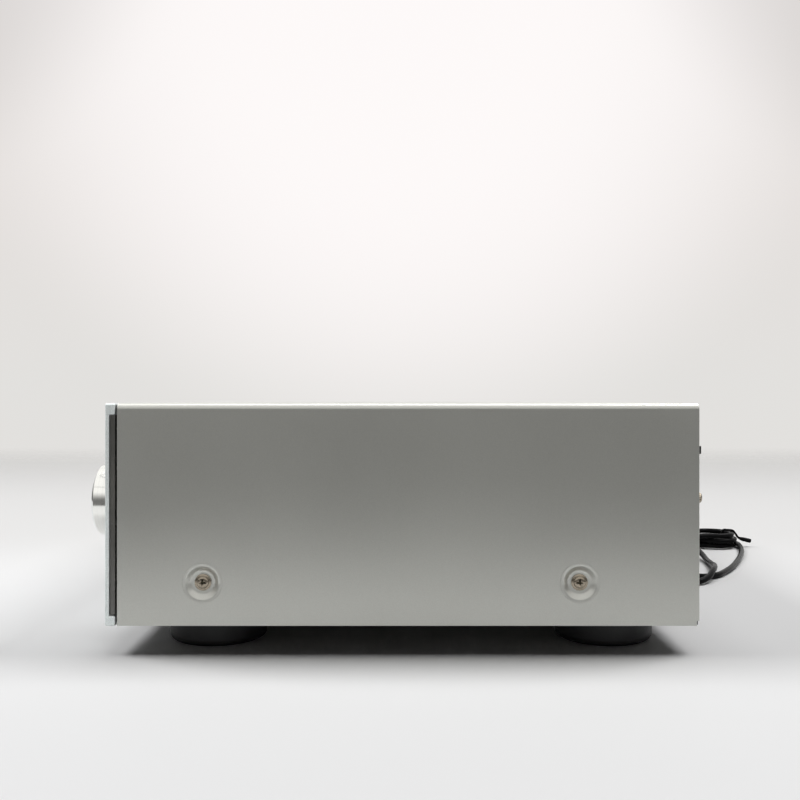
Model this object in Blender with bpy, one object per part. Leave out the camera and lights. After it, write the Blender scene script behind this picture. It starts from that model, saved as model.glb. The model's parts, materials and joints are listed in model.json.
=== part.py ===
"""Stereo receiver: a free-standing hi-fi component built from separate sheet-metal, turned and moulded parts.

Lengths are in millimetres and turned into Blender's metres as each mesh is made.
+X is the receiver's right-hand side seen from the front, the front faces -Y, +Z is up, and the feet stand on
Z = 0.
"""

import math

import bmesh
import bpy
from mathutils import Vector

MM = 0.001
GAP = 0.3                    # clearance between touching pieces

# Casing
WIDTH = 435.0
HEIGHT = 151.5
FOOT_HEIGHT = 17.0
SHEET = 1.0                  # cover sheet
STEEL = 1.2                  # rear panel and sub-panel sheet
COVER_FRONT = -169.8
COVER_REAR = 181.7
COVER_BEND = 4.0
HALF = WIDTH / 2
CASE_BOTTOM = FOOT_HEIGHT
CASE_TOP = HEIGHT
PANEL_GAP = 1.05             # square panel corners stay clear of the cover's rounded bends
INNER_HALF = HALF - SHEET - PANEL_GAP
INNER_TOP = CASE_TOP - SHEET - PANEL_GAP

# Fascia, an extruded channel with a moulded backing inside it
FASCIA_FRONT = -177.0
FASCIA_PLATE = 2.4
FASCIA_DEPTH = 6.0
FASCIA_TOP_RAIL = 7.0
FASCIA_BOTTOM_RAIL = 6.0
BACKING_FRONT = FASCIA_FRONT + FASCIA_PLATE + GAP
BACKING_REAR = FASCIA_FRONT + FASCIA_DEPTH - GAP
BACKING_INSET = 1.2
SUBPANEL_FRONT = COVER_FRONT + GAP
BOARD_FRONT = -152.0         # front face of the control board
BOARD = 1.6

# Chassis tray and rear panel
TRAY_BOTTOM = CASE_BOTTOM + GAP
TRAY_SHEET = 1.4
TRAY_TOP = TRAY_BOTTOM + TRAY_SHEET
TRAY_HALF = 213.7
TRAY_WALL_TOP = 56.0
TRAY_FRONT = SUBPANEL_FRONT + STEEL + GAP
REAR_OUTER = COVER_REAR - GAP
REAR_INNER = REAR_OUTER - STEEL
TRAY_REAR = REAR_INNER - GAP

# Side fastenings: a dish pressed into the cover around each screw
DISH_DEPTH = 2.5
DISH_RADIUS = 8.9
DISH_FLOOR_RADIUS = 7.2
DISH_BOSS_RADIUS = 10.6
SCREW_HOLE = 2.2
SCREW_Z = 42.9
SCREW_YS = {"front": -118.3, "rear": 109.7}

# Vents, in two rows across the middle
VENTS = 14
VENT_PITCH = 10.0
VENT_WIDTH = 3.4
COVER_VENT_ROWS = ((-58.0, -6.0), (8.0, 60.0))
TRAY_VENT_ROWS = ((-52.0, -8.0), (4.0, 48.0))

# Feet
FOOT_RADIUS = 31.0
FOOT_X = 172.5
FOOT_YS = {"front": -116.6, "rear": 133.0}

# Front controls
KNOB_Z = 87.0
VOLUME_X = 157.5
SELECTOR_X = -157.5
KNOB_RADIUS = 23.0
KNOB_LENGTH = 21.0
SHAFT_RADIUS = 3.0
SHAFT_FRONT = -190.0
SHAFT_REAR = -160.3
LOWER_Z = 41.0
TONE_KNOBS = {"bass_knob": -42.0, "treble_knob": -8.0, "balance_knob": 26.0}
TONE_RADIUS = 9.0
TONE_LENGTH = 13.0
TONE_REAR = -162.0
BUTTONS = {
    "speaker_a_button": -110.0,
    "speaker_b_button": -86.0,
    "tuning_down_button": 78.0,
    "tuning_up_button": 102.0,
    "memory_button": 126.0,
}
BUTTON_SIZE = (15.0, 6.0)
POWER_X = -190.0
POWER_SIZE = (18.0, 10.0)
BUTTON_REAR = -155.0
JACK_X = -152.0
JACK_BORE = 3.2
JACK_DEPTH = 26.0
WINDOW_SIZE = (190.0, 36.0)
WINDOW_Z = 104.0

# Rear panel fastenings and connectors
REAR_SCREWS = {"left": (-205.0, 140.0), "right": (205.0, 140.0)}
REAR_SCREW_HOLE = 1.8
GLAND_HOLE = 5.7
JACK_COLUMNS = [20.0, 42.0, 64.0, 86.0, 108.0]
JACK_ROWS = [80.0, 98.0]
JACK_BARREL = 4.15
ANTENNA_X = 176.0
ANTENNA_OPENING = (42.0, 17.0)
ANTENNA_Z = 122.0
COAX_X = 163.0
GROUND_X = 178.0
GROUND_Z = 90.3
POST_XS = {
    "speaker_post_right_positive": -45.0,
    "speaker_post_right_negative": -64.0,
    "speaker_post_left_positive": -86.0,
    "speaker_post_left_negative": -105.0,
}
SPEAKER_X = -75.0
SPEAKER_OPENING = (77.0, 18.0)
POST_Z = 70.0
POST_BASE_REAR = 186.4
POST_REAR = 198.0
STUD_RADIUS = 2.0

# Power cord, its gland and its plug
CORD_RADIUS = 2.5
CORD_X = -186.0
CORD_Z = 60.0
GLAND_END = 209.3
FLOOR_Z = CORD_RADIUS + 0.2
HANK_X = -194.5
HANK_Y = 292.3
HANK_RUN = 39.5              # half the straight length of the hank's runs
HANK_FOLD = 21.0             # radius of its outer strand at each fold
HANK_WAIST = 8.2             # half width of its outer strand where it is tied
HANK_TIE = 4.0
HANK_TOP = 16.6
LEAD_ROUTE = [
    (-186, 209.6, 60), (-186, 216.3, 60), (-186, 224.3, 59.2), (-184, 234.3, 55.5), (-178, 242.3, 47),
    (-168.5, 246.8, 33), (-156, 248.3, 18), (-141, 247.3, 7), (-124, 244.3, 3), (-104, 240.3, FLOOR_Z),
    (-82, 236.8, FLOOR_Z), (-60, 234.3, FLOOR_Z), (-42, 235.3, FLOOR_Z), (-27, 240.8, FLOOR_Z),
    (-17, 251.3, FLOOR_Z), (-15.5, 263.3, FLOOR_Z), (-22, 274.3, FLOOR_Z), (-35, 284.3, FLOOR_Z),
    (-55, 297.3, FLOOR_Z), (-80, 310.8, FLOOR_Z), (-110, 325.3, FLOOR_Z), (-140, 338.3, 2.9),
    (-165, 346.8, 3.2), (-182, 351.3, 3.4),
]
TAIL_ROUTE = [
    (-170.5, 262.3, 13.6), (-167, 274.3, 13), (-157, 284.8, 11.8), (-140, 289.8, 9.4), (-117, 290.8, 6),
    (-92, 288.3, 3.4), (-68, 284.3, 4.4), (-46, 279.3, 6.9), (-28, 273.8, 8.5), (-12, 266.8, 8.3),
    (1.5, 258.3, 4.9), (9, 247.3, 2.9), (9, 235.3, FLOOR_Z), (1, 225.8, FLOOR_Z), (-10, 221, 2.9),
    (-22, 218.6, 3.8), (-34, 216.8, 5.6), (-43, 215.7, 6.8), (-50, 215.3, 7),
]
PLUG_X = -50.3
PLUG_Y = 215.3
PLUG_Z = 7.0

ROUND = 32                   # sides of the large turned pieces
SMALL = 12                   # sides of small ones
MEDIUM = 18                  # sides of those between

# Colour, metallic, roughness
FINISHES = {
    "silver_paint": ((0.52, 0.53, 0.50), 0.35, 0.42),
    "fascia_metal": ((0.66, 0.68, 0.68), 0.9, 0.32),
    "knob_metal": ((0.72, 0.72, 0.70), 1.0, 0.25),
    "black_plastic": ((0.02, 0.02, 0.02), 0.0, 0.45),
    "dark_moulding": ((0.12, 0.12, 0.11), 0.0, 0.3),
    "smoked_window": ((0.01, 0.01, 0.012), 0.0, 0.05),
    "steel": ((0.55, 0.56, 0.56), 0.9, 0.4),
    "black_steel": ((0.03, 0.03, 0.032), 0.3, 0.5),
    "screw_metal": ((0.5, 0.45, 0.38), 1.0, 0.3),
    "gilt": ((0.8, 0.6, 0.25), 1.0, 0.25),
    "heat_sink_metal": ((0.3, 0.3, 0.31), 0.9, 0.45),
    "board": ((0.05, 0.16, 0.07), 0.0, 0.5),
    "red_plastic": ((0.45, 0.02, 0.02), 0.0, 0.35),
    "glass": ((0.08, 0.12, 0.11), 0.0, 0.08),
    "cord_rubber": ((0.012, 0.012, 0.013), 0.0, 0.35),
}

# Turns that carry a piece's own +Z to the way it faces
FACING = {
    "up": (0.0, 0.0, 0.0),
    "front": (math.pi / 2, 0.0, 0.0),
    "rear": (-math.pi / 2, 0.0, 0.0),
    "right": (0.0, math.pi / 2, 0.0),
    "left": (0.0, -math.pi / 2, 0.0),
}


def clear_scene():
    for old in list(bpy.data.objects):
        bpy.data.objects.remove(old, do_unlink=True)


def finish_material(name, finish):
    colour, metallic, roughness = FINISHES[finish]
    material = bpy.data.materials.new(name + "_" + finish)
    material.use_nodes = True
    shader = material.node_tree.nodes["Principled BSDF"]
    shader.inputs["Base Color"].default_value = (*colour, 1.0)
    shader.inputs["Metallic"].default_value = metallic
    shader.inputs["Roughness"].default_value = roughness
    material.diffuse_color = (*colour, 1.0)
    return material


def add_object(name, bm, at=(0, 0, 0), facing="up", smooth=False):
    """Turn a bmesh in millimetres into an object in metres."""
    bmesh.ops.scale(bm, vec=(MM, MM, MM), verts=bm.verts)
    mesh = bpy.data.meshes.new(name)
    bm.to_mesh(mesh)
    bm.free()
    if smooth:
        mesh.shade_smooth()
        mesh.set_sharp_from_angle(angle=math.radians(35))
    piece = bpy.data.objects.new(name, mesh)
    piece.location = Vector(at) * MM
    piece.rotation_euler = FACING[facing]
    bpy.context.scene.collection.objects.link(piece)
    return piece


def part(name, finish, bm, at=(0, 0, 0), facing="up", smooth=False):
    piece = add_object(name, bm, at, facing, smooth)
    piece.data.materials.append(finish_material(name, finish))
    return piece


def helper(piece, name, bm, operation, at=(0, 0, 0), facing="up"):
    """Join or cut a hidden helper shape with an exact Boolean."""
    tool = add_object(name, bm, at, facing)
    tool.hide_render = True
    tool.display_type = "WIRE"
    step = piece.modifiers.new(name, "BOOLEAN")
    step.operation = operation
    step.solver = "EXACT"
    step.object = tool


def soften(piece, width, segments=1):
    """Round the sharp edges of a finished shape."""
    edge = piece.modifiers.new("edges", "BEVEL")
    edge.width = width * MM
    edge.segments = segments
    edge.limit_method = "ANGLE"
    edge.angle_limit = math.radians(50)


def circle(radius, height, sides=ROUND, centre=(0, 0)):
    turn = 2 * math.pi / sides
    return [
        (centre[0] + radius * math.cos(turn * i), centre[1] + radius * math.sin(turn * i), height)
        for i in range(sides)
    ]


def rectangle(width, depth, height, centre=(0, 0)):
    x, y = centre
    return [
        (x - width / 2, y - depth / 2, height),
        (x + width / 2, y - depth / 2, height),
        (x + width / 2, y + depth / 2, height),
        (x - width / 2, y + depth / 2, height),
    ]


def add_loft(bm, rows, ring=False):
    """Add a closed solid through rows of the same number of points. A ring joins its last row to its first.
    """
    loops = [[bm.verts.new(point) for point in row] for row in rows]
    count = len(loops[0])
    pairs = list(zip(loops, loops[1:]))
    faces = []
    if ring:
        pairs.append((loops[-1], loops[0]))
    else:
        faces.append(bm.faces.new(loops[0]))
        faces.append(bm.faces.new(loops[-1]))
    for lower, upper in pairs:
        for i in range(count):
            j = (i + 1) % count
            faces.append(bm.faces.new((lower[i], lower[j], upper[j], upper[i])))
    bmesh.ops.recalc_face_normals(bm, faces=faces)


def loft(rows, ring=False):
    bm = bmesh.new()
    add_loft(bm, rows, ring)
    return bm


def turned(profile, sides=ROUND):
    """Solid turned about its own +Z, from (radius, height) steps."""
    return loft([circle(radius, height, sides) for radius, height in profile])


def stepped(sections, centre=(0, 0)):
    """Rectangular solid whose section changes in steps: (width, depth, height)."""
    return loft([rectangle(width, depth, height, centre) for width, depth, height in sections])


def boxes(extents):
    """One mesh of separate boxes, each given by its lowest and highest corner."""
    bm = bmesh.new()
    for low, high in extents:
        size = (high[0] - low[0], high[1] - low[1])
        middle = ((high[0] + low[0]) / 2, (high[1] + low[1]) / 2)
        add_loft(bm, [rectangle(*size, low[2], middle), rectangle(*size, high[2], middle)])
    return bm


def cylinders(places, radius, low, high, sides=SMALL):
    """One mesh of separate upright cylinders at the given places."""
    bm = bmesh.new()
    for place in places:
        add_loft(bm, [circle(radius, low, sides, place), circle(radius, high, sides, place)])
    return bm


def prism(outline, low, high, along):
    """Extrude a closed 2-D outline. Along X it is read as (y, z), along Y as (x, z)."""
    if along == "X":
        return loft([[(end, a, b) for a, b in outline] for end in (low, high)])
    return loft([[(a, end, b) for a, b in outline] for end in (low, high)])


def arc(centre, radius, start, end, steps):
    """Points of an arc, angles in degrees."""
    points = []
    for i in range(steps + 1):
        angle = math.radians(start + (end - start) * i / steps)
        points.append((centre[0] + radius * math.cos(angle), centre[1] + radius * math.sin(angle)))
    return points


# ---------------------------------------------------------------- casing

def build_cover():
    corner = HALF - COVER_BEND
    top = CASE_TOP - COVER_BEND
    inner = COVER_BEND - SHEET
    outline = [(HALF, CASE_BOTTOM)]
    outline += arc((corner, top), COVER_BEND, 0, 90, 4)
    outline += arc((-corner, top), COVER_BEND, 90, 180, 4)
    outline += [(-HALF, CASE_BOTTOM), (-HALF + SHEET, CASE_BOTTOM)]
    outline += arc((-corner, top), inner, 180, 90, 2)
    outline += arc((corner, top), inner, 90, 0, 2)
    outline += [(HALF - SHEET, CASE_BOTTOM)]
    cover = part("top_cover", "silver_paint", prism(outline, COVER_FRONT, COVER_REAR, "Y"))

    bosses = bmesh.new()
    dishes = bmesh.new()
    holes = bmesh.new()
    overlap = 0.5
    for y in SCREW_YS.values():
        spot = (SCREW_Z, y)
        for side in (-1, 1):
            add_side_loft(bosses, spot, side, [
                (DISH_BOSS_RADIUS, overlap), (DISH_FLOOR_RADIUS + SHEET, DISH_DEPTH + SHEET)])
            add_side_loft(dishes, spot, side, [
                (DISH_RADIUS + 0.7, -1), (DISH_FLOOR_RADIUS, DISH_DEPTH)])
            add_side_loft(holes, spot, side, [(SCREW_HOLE, -2), (SCREW_HOLE, DISH_DEPTH + 2 * SHEET)])
    helper(cover, "dish_bosses", bosses, "UNION")
    helper(cover, "dish_hollows", dishes, "DIFFERENCE")
    helper(cover, "side_screw_holes", holes, "DIFFERENCE")

    slots = vent_slots(VENTS, COVER_VENT_ROWS, CASE_TOP - 3, CASE_TOP + 2)
    helper(cover, "top_vents", boxes(slots), "DIFFERENCE")

    notch = []
    for side in (-1, 1):
        left = min(side * (HALF + 1), side * (HALF - SHEET - 1))
        low = (left, COVER_REAR - 1.5, CASE_BOTTOM - 1)
        high = (left + SHEET + 2, COVER_REAR + 1, CASE_BOTTOM + 3)
        notch.append((low, high))
    helper(cover, "rear_notches", boxes(notch), "DIFFERENCE")


def vent_slots(count, rows, low, high):
    """Boxes for rows of vent slots, centred across the receiver."""
    slots = []
    for front, rear in rows:
        for step in range(count):
            x = VENT_PITCH * (step - count / 2 + 0.5) - VENT_WIDTH / 2
            slots.append(((x, front, low), (x + VENT_WIDTH, rear, high)))
    return slots


def add_side_loft(bm, spot, side, profile):
    """Turned shape about X on a side wall; depth runs from the wall's outer face inwards."""
    z, y = spot
    turn = 2 * math.pi / MEDIUM
    rows = []
    for radius, depth in profile:
        x = side * (HALF - depth)
        rows.append([
            (x, y + radius * math.cos(turn * i), z + radius * math.sin(turn * i))
            for i in range(MEDIUM)
        ])
    add_loft(bm, rows)


def build_tray():
    wall = TRAY_HALF - TRAY_SHEET
    outline = [
        (-TRAY_HALF, TRAY_WALL_TOP), (-TRAY_HALF, TRAY_BOTTOM), (TRAY_HALF, TRAY_BOTTOM),
        (TRAY_HALF, TRAY_WALL_TOP), (wall, TRAY_WALL_TOP), (wall, TRAY_TOP),
        (-wall, TRAY_TOP), (-wall, TRAY_WALL_TOP),
    ]
    tray = part("bottom_chassis", "steel", prism(outline, TRAY_FRONT, TRAY_REAR, "Y"))
    slots = vent_slots(VENTS // 2, TRAY_VENT_ROWS, TRAY_BOTTOM - 2, TRAY_TOP + 2)
    helper(tray, "bottom_vents", boxes(slots), "DIFFERENCE")
    holes = bmesh.new()
    for y in SCREW_YS.values():
        for side in (-1, 1):
            add_side_loft(holes, (SCREW_Z, y), side, [(SCREW_HOLE, 2.8), (SCREW_HOLE, 8)])
    helper(tray, "tray_screw_holes", holes, "DIFFERENCE")


def build_rear_panel():
    middle = (TRAY_BOTTOM + INNER_TOP) / 2
    tall = INNER_TOP - TRAY_BOTTOM
    panel = part("rear_panel", "black_steel", stepped([
        (2 * INNER_HALF, tall, -STEEL), (2 * INNER_HALF, tall, 0)]), (0, REAR_OUTER, middle), "rear")
    # on a rear-facing piece its own +Y points down
    jacks = [(x, middle - z) for x in JACK_COLUMNS for z in JACK_ROWS]
    helper(panel, "jack_holes", cylinders(jacks, JACK_BARREL + 0.45, -4, 3, SMALL),
           "DIFFERENCE", (0, REAR_OUTER, middle), "rear")
    rounds = bmesh.new()
    openings = [(CORD_X, CORD_Z, GLAND_HOLE), (GROUND_X, GROUND_Z, STUD_RADIUS + GAP)]
    openings += [(x, z, REAR_SCREW_HOLE) for x, z in REAR_SCREWS.values()]
    for x, z, radius in openings:
        place = (x, middle - z)
        add_loft(rounds, [circle(radius, -4, SMALL, place), circle(radius, 3, SMALL, place)])
    helper(panel, "round_holes", rounds, "DIFFERENCE", (0, REAR_OUTER, middle), "rear")
    windows = []
    openings = ((ANTENNA_X, ANTENNA_Z, ANTENNA_OPENING), (SPEAKER_X, POST_Z, SPEAKER_OPENING))
    for x, z, (width, tall) in openings:
        low = (x - width / 2, middle - z - tall / 2, -4)
        high = (x + width / 2, middle - z + tall / 2, 3)
        windows.append((low, high))
    helper(panel, "connector_windows", boxes(windows), "DIFFERENCE", (0, REAR_OUTER, middle), "rear")


def build_fasteners():
    screw = [
        (1.7, -6.0), (1.7, 0), (5.0, 0), (5.0, 0.5), (3.5, 0.7), (3.5, 1.6), (2.8, 2.0),
    ]
    seat = HALF - DISH_DEPTH + GAP
    for side, sign in (("right", 1), ("left", -1)):
        for end, y in SCREW_YS.items():
            part(f"side_screw_{end}_{side}", "screw_metal", turned(screw, SMALL),
                 (sign * seat, y, SCREW_Z), side, True)
    rear = [(1.5, -6.0), (1.5, 0), (3.2, 0), (3.2, 1.2), (2.4, 1.9)]
    for side, (x, z) in REAR_SCREWS.items():
        part(f"rear_screw_{side}", "screw_metal", turned(rear, SMALL), (x, REAR_OUTER + GAP, z), "rear", True)


def build_feet():
    profile = [
        (9.0, 9.5), (9.0, 0), (26.5, 0), (FOOT_RADIUS - 1.4, 1.3), (FOOT_RADIUS, 4.6),
        (FOOT_RADIUS, FOOT_HEIGHT),
    ]
    for side, sign in (("right", 1), ("left", -1)):
        for end, y in FOOT_YS.items():
            name = f"foot_{end}_{side}"
            part(name, "black_plastic", turned(profile), (sign * FOOT_X, y, 0), "up", True)


# ---------------------------------------------------------------- front

def control_cutouts(panel, name, low, high, grow):
    """Cut the controls' openings through a plate between two Y places. grow widens the openings."""
    rounds = bmesh.new()
    for x, z, radius in round_controls():
        add_loft(rounds, [circle(radius + grow, end, SMALL, (x, z)) for end in (-low, -high)])
    helper(panel, name + "_round_openings", rounds, "DIFFERENCE", facing="front")
    squares = []
    for x, z, width, tall in square_controls():
        reach = width / 2 + grow
        rise = tall / 2 + grow
        squares.append(((x - reach, low, z - rise), (x + reach, high, z + rise)))
    helper(panel, name + "_square_openings", boxes(squares), "DIFFERENCE")


def round_controls():
    places = [(VOLUME_X, KNOB_Z, 5.0), (SELECTOR_X, KNOB_Z, 5.0), (JACK_X, LOWER_Z, 5.3)]
    places += [(x, LOWER_Z, 3.4) for x in TONE_KNOBS.values()]
    return places


def square_controls():
    places = [(POWER_X, LOWER_Z, POWER_SIZE[0] + 2 * GAP, POWER_SIZE[1] + 2 * GAP)]
    places += [(x, LOWER_Z, BUTTON_SIZE[0] + 2 * GAP, BUTTON_SIZE[1] + 2 * GAP) for x in BUTTONS.values()]
    places.append((0.0, WINDOW_Z, WINDOW_SIZE[0] + 2 * GAP, WINDOW_SIZE[1] + 2 * GAP))
    return places


def build_fascia():
    back = FASCIA_FRONT + FASCIA_DEPTH
    plate = FASCIA_FRONT + FASCIA_PLATE
    outline = [
        (FASCIA_FRONT, CASE_BOTTOM), (back, CASE_BOTTOM), (back, CASE_BOTTOM + FASCIA_BOTTOM_RAIL),
        (plate, CASE_BOTTOM + FASCIA_BOTTOM_RAIL), (plate, CASE_TOP - FASCIA_TOP_RAIL),
        (back, CASE_TOP - FASCIA_TOP_RAIL), (back, CASE_TOP), (FASCIA_FRONT, CASE_TOP),
    ]
    fascia = part("front_panel", "fascia_metal", prism(outline, -HALF, HALF, "X"))
    control_cutouts(fascia, "fascia", FASCIA_FRONT - 2, plate + 2, 0)

    low = (-HALF + BACKING_INSET, BACKING_FRONT, CASE_BOTTOM + FASCIA_BOTTOM_RAIL + GAP)
    high = (HALF - BACKING_INSET, BACKING_REAR, CASE_TOP - FASCIA_TOP_RAIL - GAP)
    backing = part("fascia_backing", "dark_moulding", boxes([(low, high)]))
    control_cutouts(backing, "backing", BACKING_FRONT - 2, BACKING_REAR + 2, 2.5)

    low = (-INNER_HALF, SUBPANEL_FRONT, TRAY_BOTTOM)
    high = (INNER_HALF, SUBPANEL_FRONT + STEEL, INNER_TOP)
    subpanel = part("front_subpanel", "black_steel", boxes([(low, high)]))
    control_cutouts(subpanel, "subpanel", SUBPANEL_FRONT - 2, SUBPANEL_FRONT + STEEL + 2, 0.6)


def build_display():
    width, tall = WINDOW_SIZE
    flange = FASCIA_PLATE + GAP
    window = stepped([
        (width + 3, tall + 3, -flange - 1.2), (width + 3, tall + 3, -flange),
        (width, tall, -flange), (width, tall, 0)])
    part("display_window", "smoked_window", window, (0, FASCIA_FRONT, WINDOW_Z), "front")
    tube = stepped([
        (width - 30, tall - 16, 0), (width - 30, tall - 16, 3), (width - 10, tall - 6, 3),
        (width - 10, tall - 6, 9), (width - 14, tall - 10, 9), (width - 14, tall - 10, 11)])
    part("display_module", "glass", tube, (0, -160.0, WINDOW_Z), "front")


def build_large_knobs():
    length = KNOB_LENGTH
    skirt = 0.6
    bore = FASCIA_FRONT - SHAFT_FRONT + GAP
    profile = [
        (SHAFT_RADIUS + GAP, bore), (SHAFT_RADIUS + GAP, skirt + 2), (7.0, skirt + 2), (7.0, 14.0),
        (20.5, 14.0), (20.5, skirt), (KNOB_RADIUS, skirt), (KNOB_RADIUS, length - 1.3),
        (KNOB_RADIUS - 1.3, length), (KNOB_RADIUS - 2.2, length), (KNOB_RADIUS - 2.7, length - 0.4),
    ]
    for name, x in (("volume", VOLUME_X), ("selector", SELECTOR_X)):
        knob = part(name + "_knob", "knob_metal", turned(profile), (x, FASCIA_FRONT, KNOB_Z), "front", True)
        mark = stepped([(1.4, 6.0, length - 1.2), (1.4, 6.0, length + 2)], (0, 15.5))
        helper(knob, name + "_mark", mark, "DIFFERENCE", (x, FASCIA_FRONT, KNOB_Z), "front")
        reach = SHAFT_REAR - SHAFT_FRONT
        shaft = [(SHAFT_RADIUS, 0), (SHAFT_RADIUS, reach - 0.5), (SHAFT_RADIUS - 0.5, reach)]
        part(name + "_shaft", "steel", turned(shaft, SMALL), (x, SHAFT_REAR, KNOB_Z), "front", True)
    build_shaft_body("volume_potentiometer", VOLUME_X, 24.0)
    build_shaft_body("selector_encoder", SELECTOR_X, 16.0)


def build_shaft_body(name, x, size):
    """Rotary part behind the panel: a square body and a round bushing that the shaft turns in."""
    base = BOARD_FRONT - GAP
    bore_end = base - SHAFT_REAR - GAP
    bushing = base - (SUBPANEL_FRONT - 0.5)
    body = bore_end - 0.5
    bm = turned([
        (SHAFT_RADIUS + GAP, bore_end), (SHAFT_RADIUS + GAP, bushing), (4.5, bushing), (4.5, body - 1)], SMALL)
    piece = part(name, "steel", bm, (x, base, KNOB_Z), "front")
    case = boxes([((-size / 2, -size / 2, 0), (size / 2, size / 2, body))])
    helper(piece, name + "_case", case, "UNION", (x, base, KNOB_Z), "front")


def build_tone_knobs():
    stem = FASCIA_FRONT - TONE_REAR
    profile = [
        (2.9, stem), (2.9, 0.6), (TONE_RADIUS, 0.6), (TONE_RADIUS, TONE_LENGTH - 1.0),
        (TONE_RADIUS - 1.0, TONE_LENGTH),
    ]
    for name, x in TONE_KNOBS.items():
        knob = part(name, "knob_metal", turned(profile, MEDIUM), (x, FASCIA_FRONT, LOWER_Z), "front", True)
        mark = stepped([(1.1, 4.5, TONE_LENGTH - 0.8), (1.1, 4.5, TONE_LENGTH + 2)], (0, 5.4))
        helper(knob, name + "_mark", mark, "DIFFERENCE", (x, FASCIA_FRONT, LOWER_Z), "front")
    low = (-54.0, TONE_REAR + GAP, LOWER_Z - 11)
    high = (38.0, TONE_REAR + 7.5, LOWER_Z + 11)
    part("tone_control_board", "board", boxes([(low, high)]))


def build_buttons():
    places = {name: (x, BUTTON_SIZE) for name, x in BUTTONS.items()}
    places["power_button"] = (POWER_X, POWER_SIZE)
    for name, (x, (width, tall)) in places.items():
        stem = FASCIA_FRONT - BUTTON_REAR
        shoulder = -FASCIA_PLATE - 2 * GAP
        sections = [
            (width - 6, tall - 2, stem), (width - 6, tall - 2, shoulder - 1.0),
            (width + 2.4, tall + 2.4, shoulder - 1.0), (width + 2.4, tall + 2.4, shoulder),
            (width, tall, shoulder), (width, tall, 2.4), (width - 1.2, tall - 1.2, 3.0),
        ]
        part(name, "fascia_metal", stepped(sections), (x, FASCIA_FRONT, LOWER_Z), "front")
    low = (POWER_X - 9, BUTTON_REAR + 4, LOWER_Z - 8)
    high = (POWER_X + 9, BUTTON_REAR + 34, LOWER_Z + 8)
    part("power_switch", "black_plastic", boxes([(low, high)]))


def build_headphone_jack():
    profile = [
        (JACK_BORE, -JACK_DEPTH), (JACK_BORE, 1.6), (6.6, 1.6), (7.2, 1.0), (7.2, GAP), (5.0, GAP),
        (5.0, -9.0), (8.0, -9.0), (8.0, -JACK_DEPTH - 3),
    ]
    part("headphone_jack", "black_plastic", turned(profile, MEDIUM), (JACK_X, FASCIA_FRONT, LOWER_Z), "front", True)


# ---------------------------------------------------------------- inside

def standing_board(name, low, high, post_places):
    """Flat circuit board on round posts that stand on the tray."""
    board = part(name, "board", boxes([(low, high)]))
    posts = cylinders(post_places, 3.0, TRAY_TOP + GAP, low[2] + BOARD / 2, 10)
    helper(board, name + "_posts", posts, "UNION")


def build_inside():
    floor = TRAY_TOP + GAP
    core = stepped([
        (96, 78, 0), (96, 78, 2), (84, 70, 2), (84, 70, 66), (52, 60, 66), (52, 60, 78)])
    part("power_transformer", "black_steel", core, (-138, 84, floor))

    level = floor + 9.0
    standing_board("power_supply_board", (-200, -60, level), (-70, 30, level + BOARD),
                   [(-192, -52), (-78, -52), (-78, 22), (-192, 22)])
    standing_board("amplifier_board", (-50, -70, level), (190, 120, level + BOARD),
                   [(-42, -62), (182, -62), (182, 112), (-42, 112)])
    can = [(17.0, 0), (17.5, 1.0), (17.5, 49.0), (16.5, 50.0)]
    for side, x in (("left", -158.0), ("right", -114.0)):
        part(f"filter_capacitor_{side}", "black_plastic", turned(can, MEDIUM),
             (x, -15, level + BOARD + GAP), "up", True)

    fins = 16
    pitch = 10.0
    outline = [(0.0, 0.0), ((fins - 1) * pitch + 2.0, 0.0)]
    for fin in reversed(range(fins)):
        start = fin * pitch
        outline += [(start + 2.0, 42.0), (start, 42.0)]
        if fin:
            outline += [(start, 6.0), (start - pitch + 2.0, 6.0)]
    base = level + BOARD + GAP
    sink = loft([[(x - 76, y, z) for x, y in outline] for z in (0, 92)])
    part("heat_sink", "heat_sink_metal", sink, (70, -10, base))

    low = (-110.0, BOARD_FRONT, 62.0)
    high = (205.0, BOARD_FRONT + BOARD, 144.0)
    part("control_board", "board", boxes([(low, high)]))
    low = (10.0, 163.6, 68.0)
    high = (118.0, 165.2, 110.0)
    part("input_board", "board", boxes([(low, high)]))
    low = (ANTENNA_X - 28, 116.0, ANTENNA_Z - 14)
    high = (ANTENNA_X + 28, 167.0, ANTENNA_Z + 14)
    part("tuner_module", "steel", boxes([(low, high)]))


# ---------------------------------------------------------------- rear

def build_line_jacks():
    middle = sum(JACK_ROWS) / len(JACK_ROWS)
    at = (0, REAR_OUTER, 0)
    low = (JACK_COLUMNS[0] - 9, -middle - 18, -STEEL - GAP - 13)
    high = (JACK_COLUMNS[-1] + 9, -middle + 18, -STEEL - GAP)
    block = part("line_jack_block", "black_plastic", boxes([(low, high)]), at, "rear")
    places = [(x, -z) for x in JACK_COLUMNS for z in JACK_ROWS]
    helper(block, "jack_barrels", cylinders(places, JACK_BARREL, -4, 9.5, SMALL), "UNION", at, "rear")
    helper(block, "jack_sockets", cylinders(places, 1.7, 0, 12, 8), "DIFFERENCE", at, "rear")


def build_antenna():
    at = (ANTENNA_X, REAR_OUTER, ANTENNA_Z)
    body = stepped([
        (40, 15, -14), (40, 15, GAP), (56, 24, GAP), (56, 24, GAP + 1.6)])
    block = part("antenna_terminal", "black_plastic", body, at, "rear")
    coax = COAX_X - ANTENNA_X
    shapes = cylinders([(coax, 0)], 4.7, 1, 10, MEDIUM)
    add_loft(shapes, [rectangle(20, 11, 1, (15, 0)), rectangle(20, 11, 6, (15, 0))])
    helper(block, "antenna_bosses", shapes, "UNION", at, "rear")
    bores = cylinders([(coax, 0)], 0.9, 4, 12, 8)
    helper(block, "antenna_bore", bores, "DIFFERENCE", at, "rear")


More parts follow.
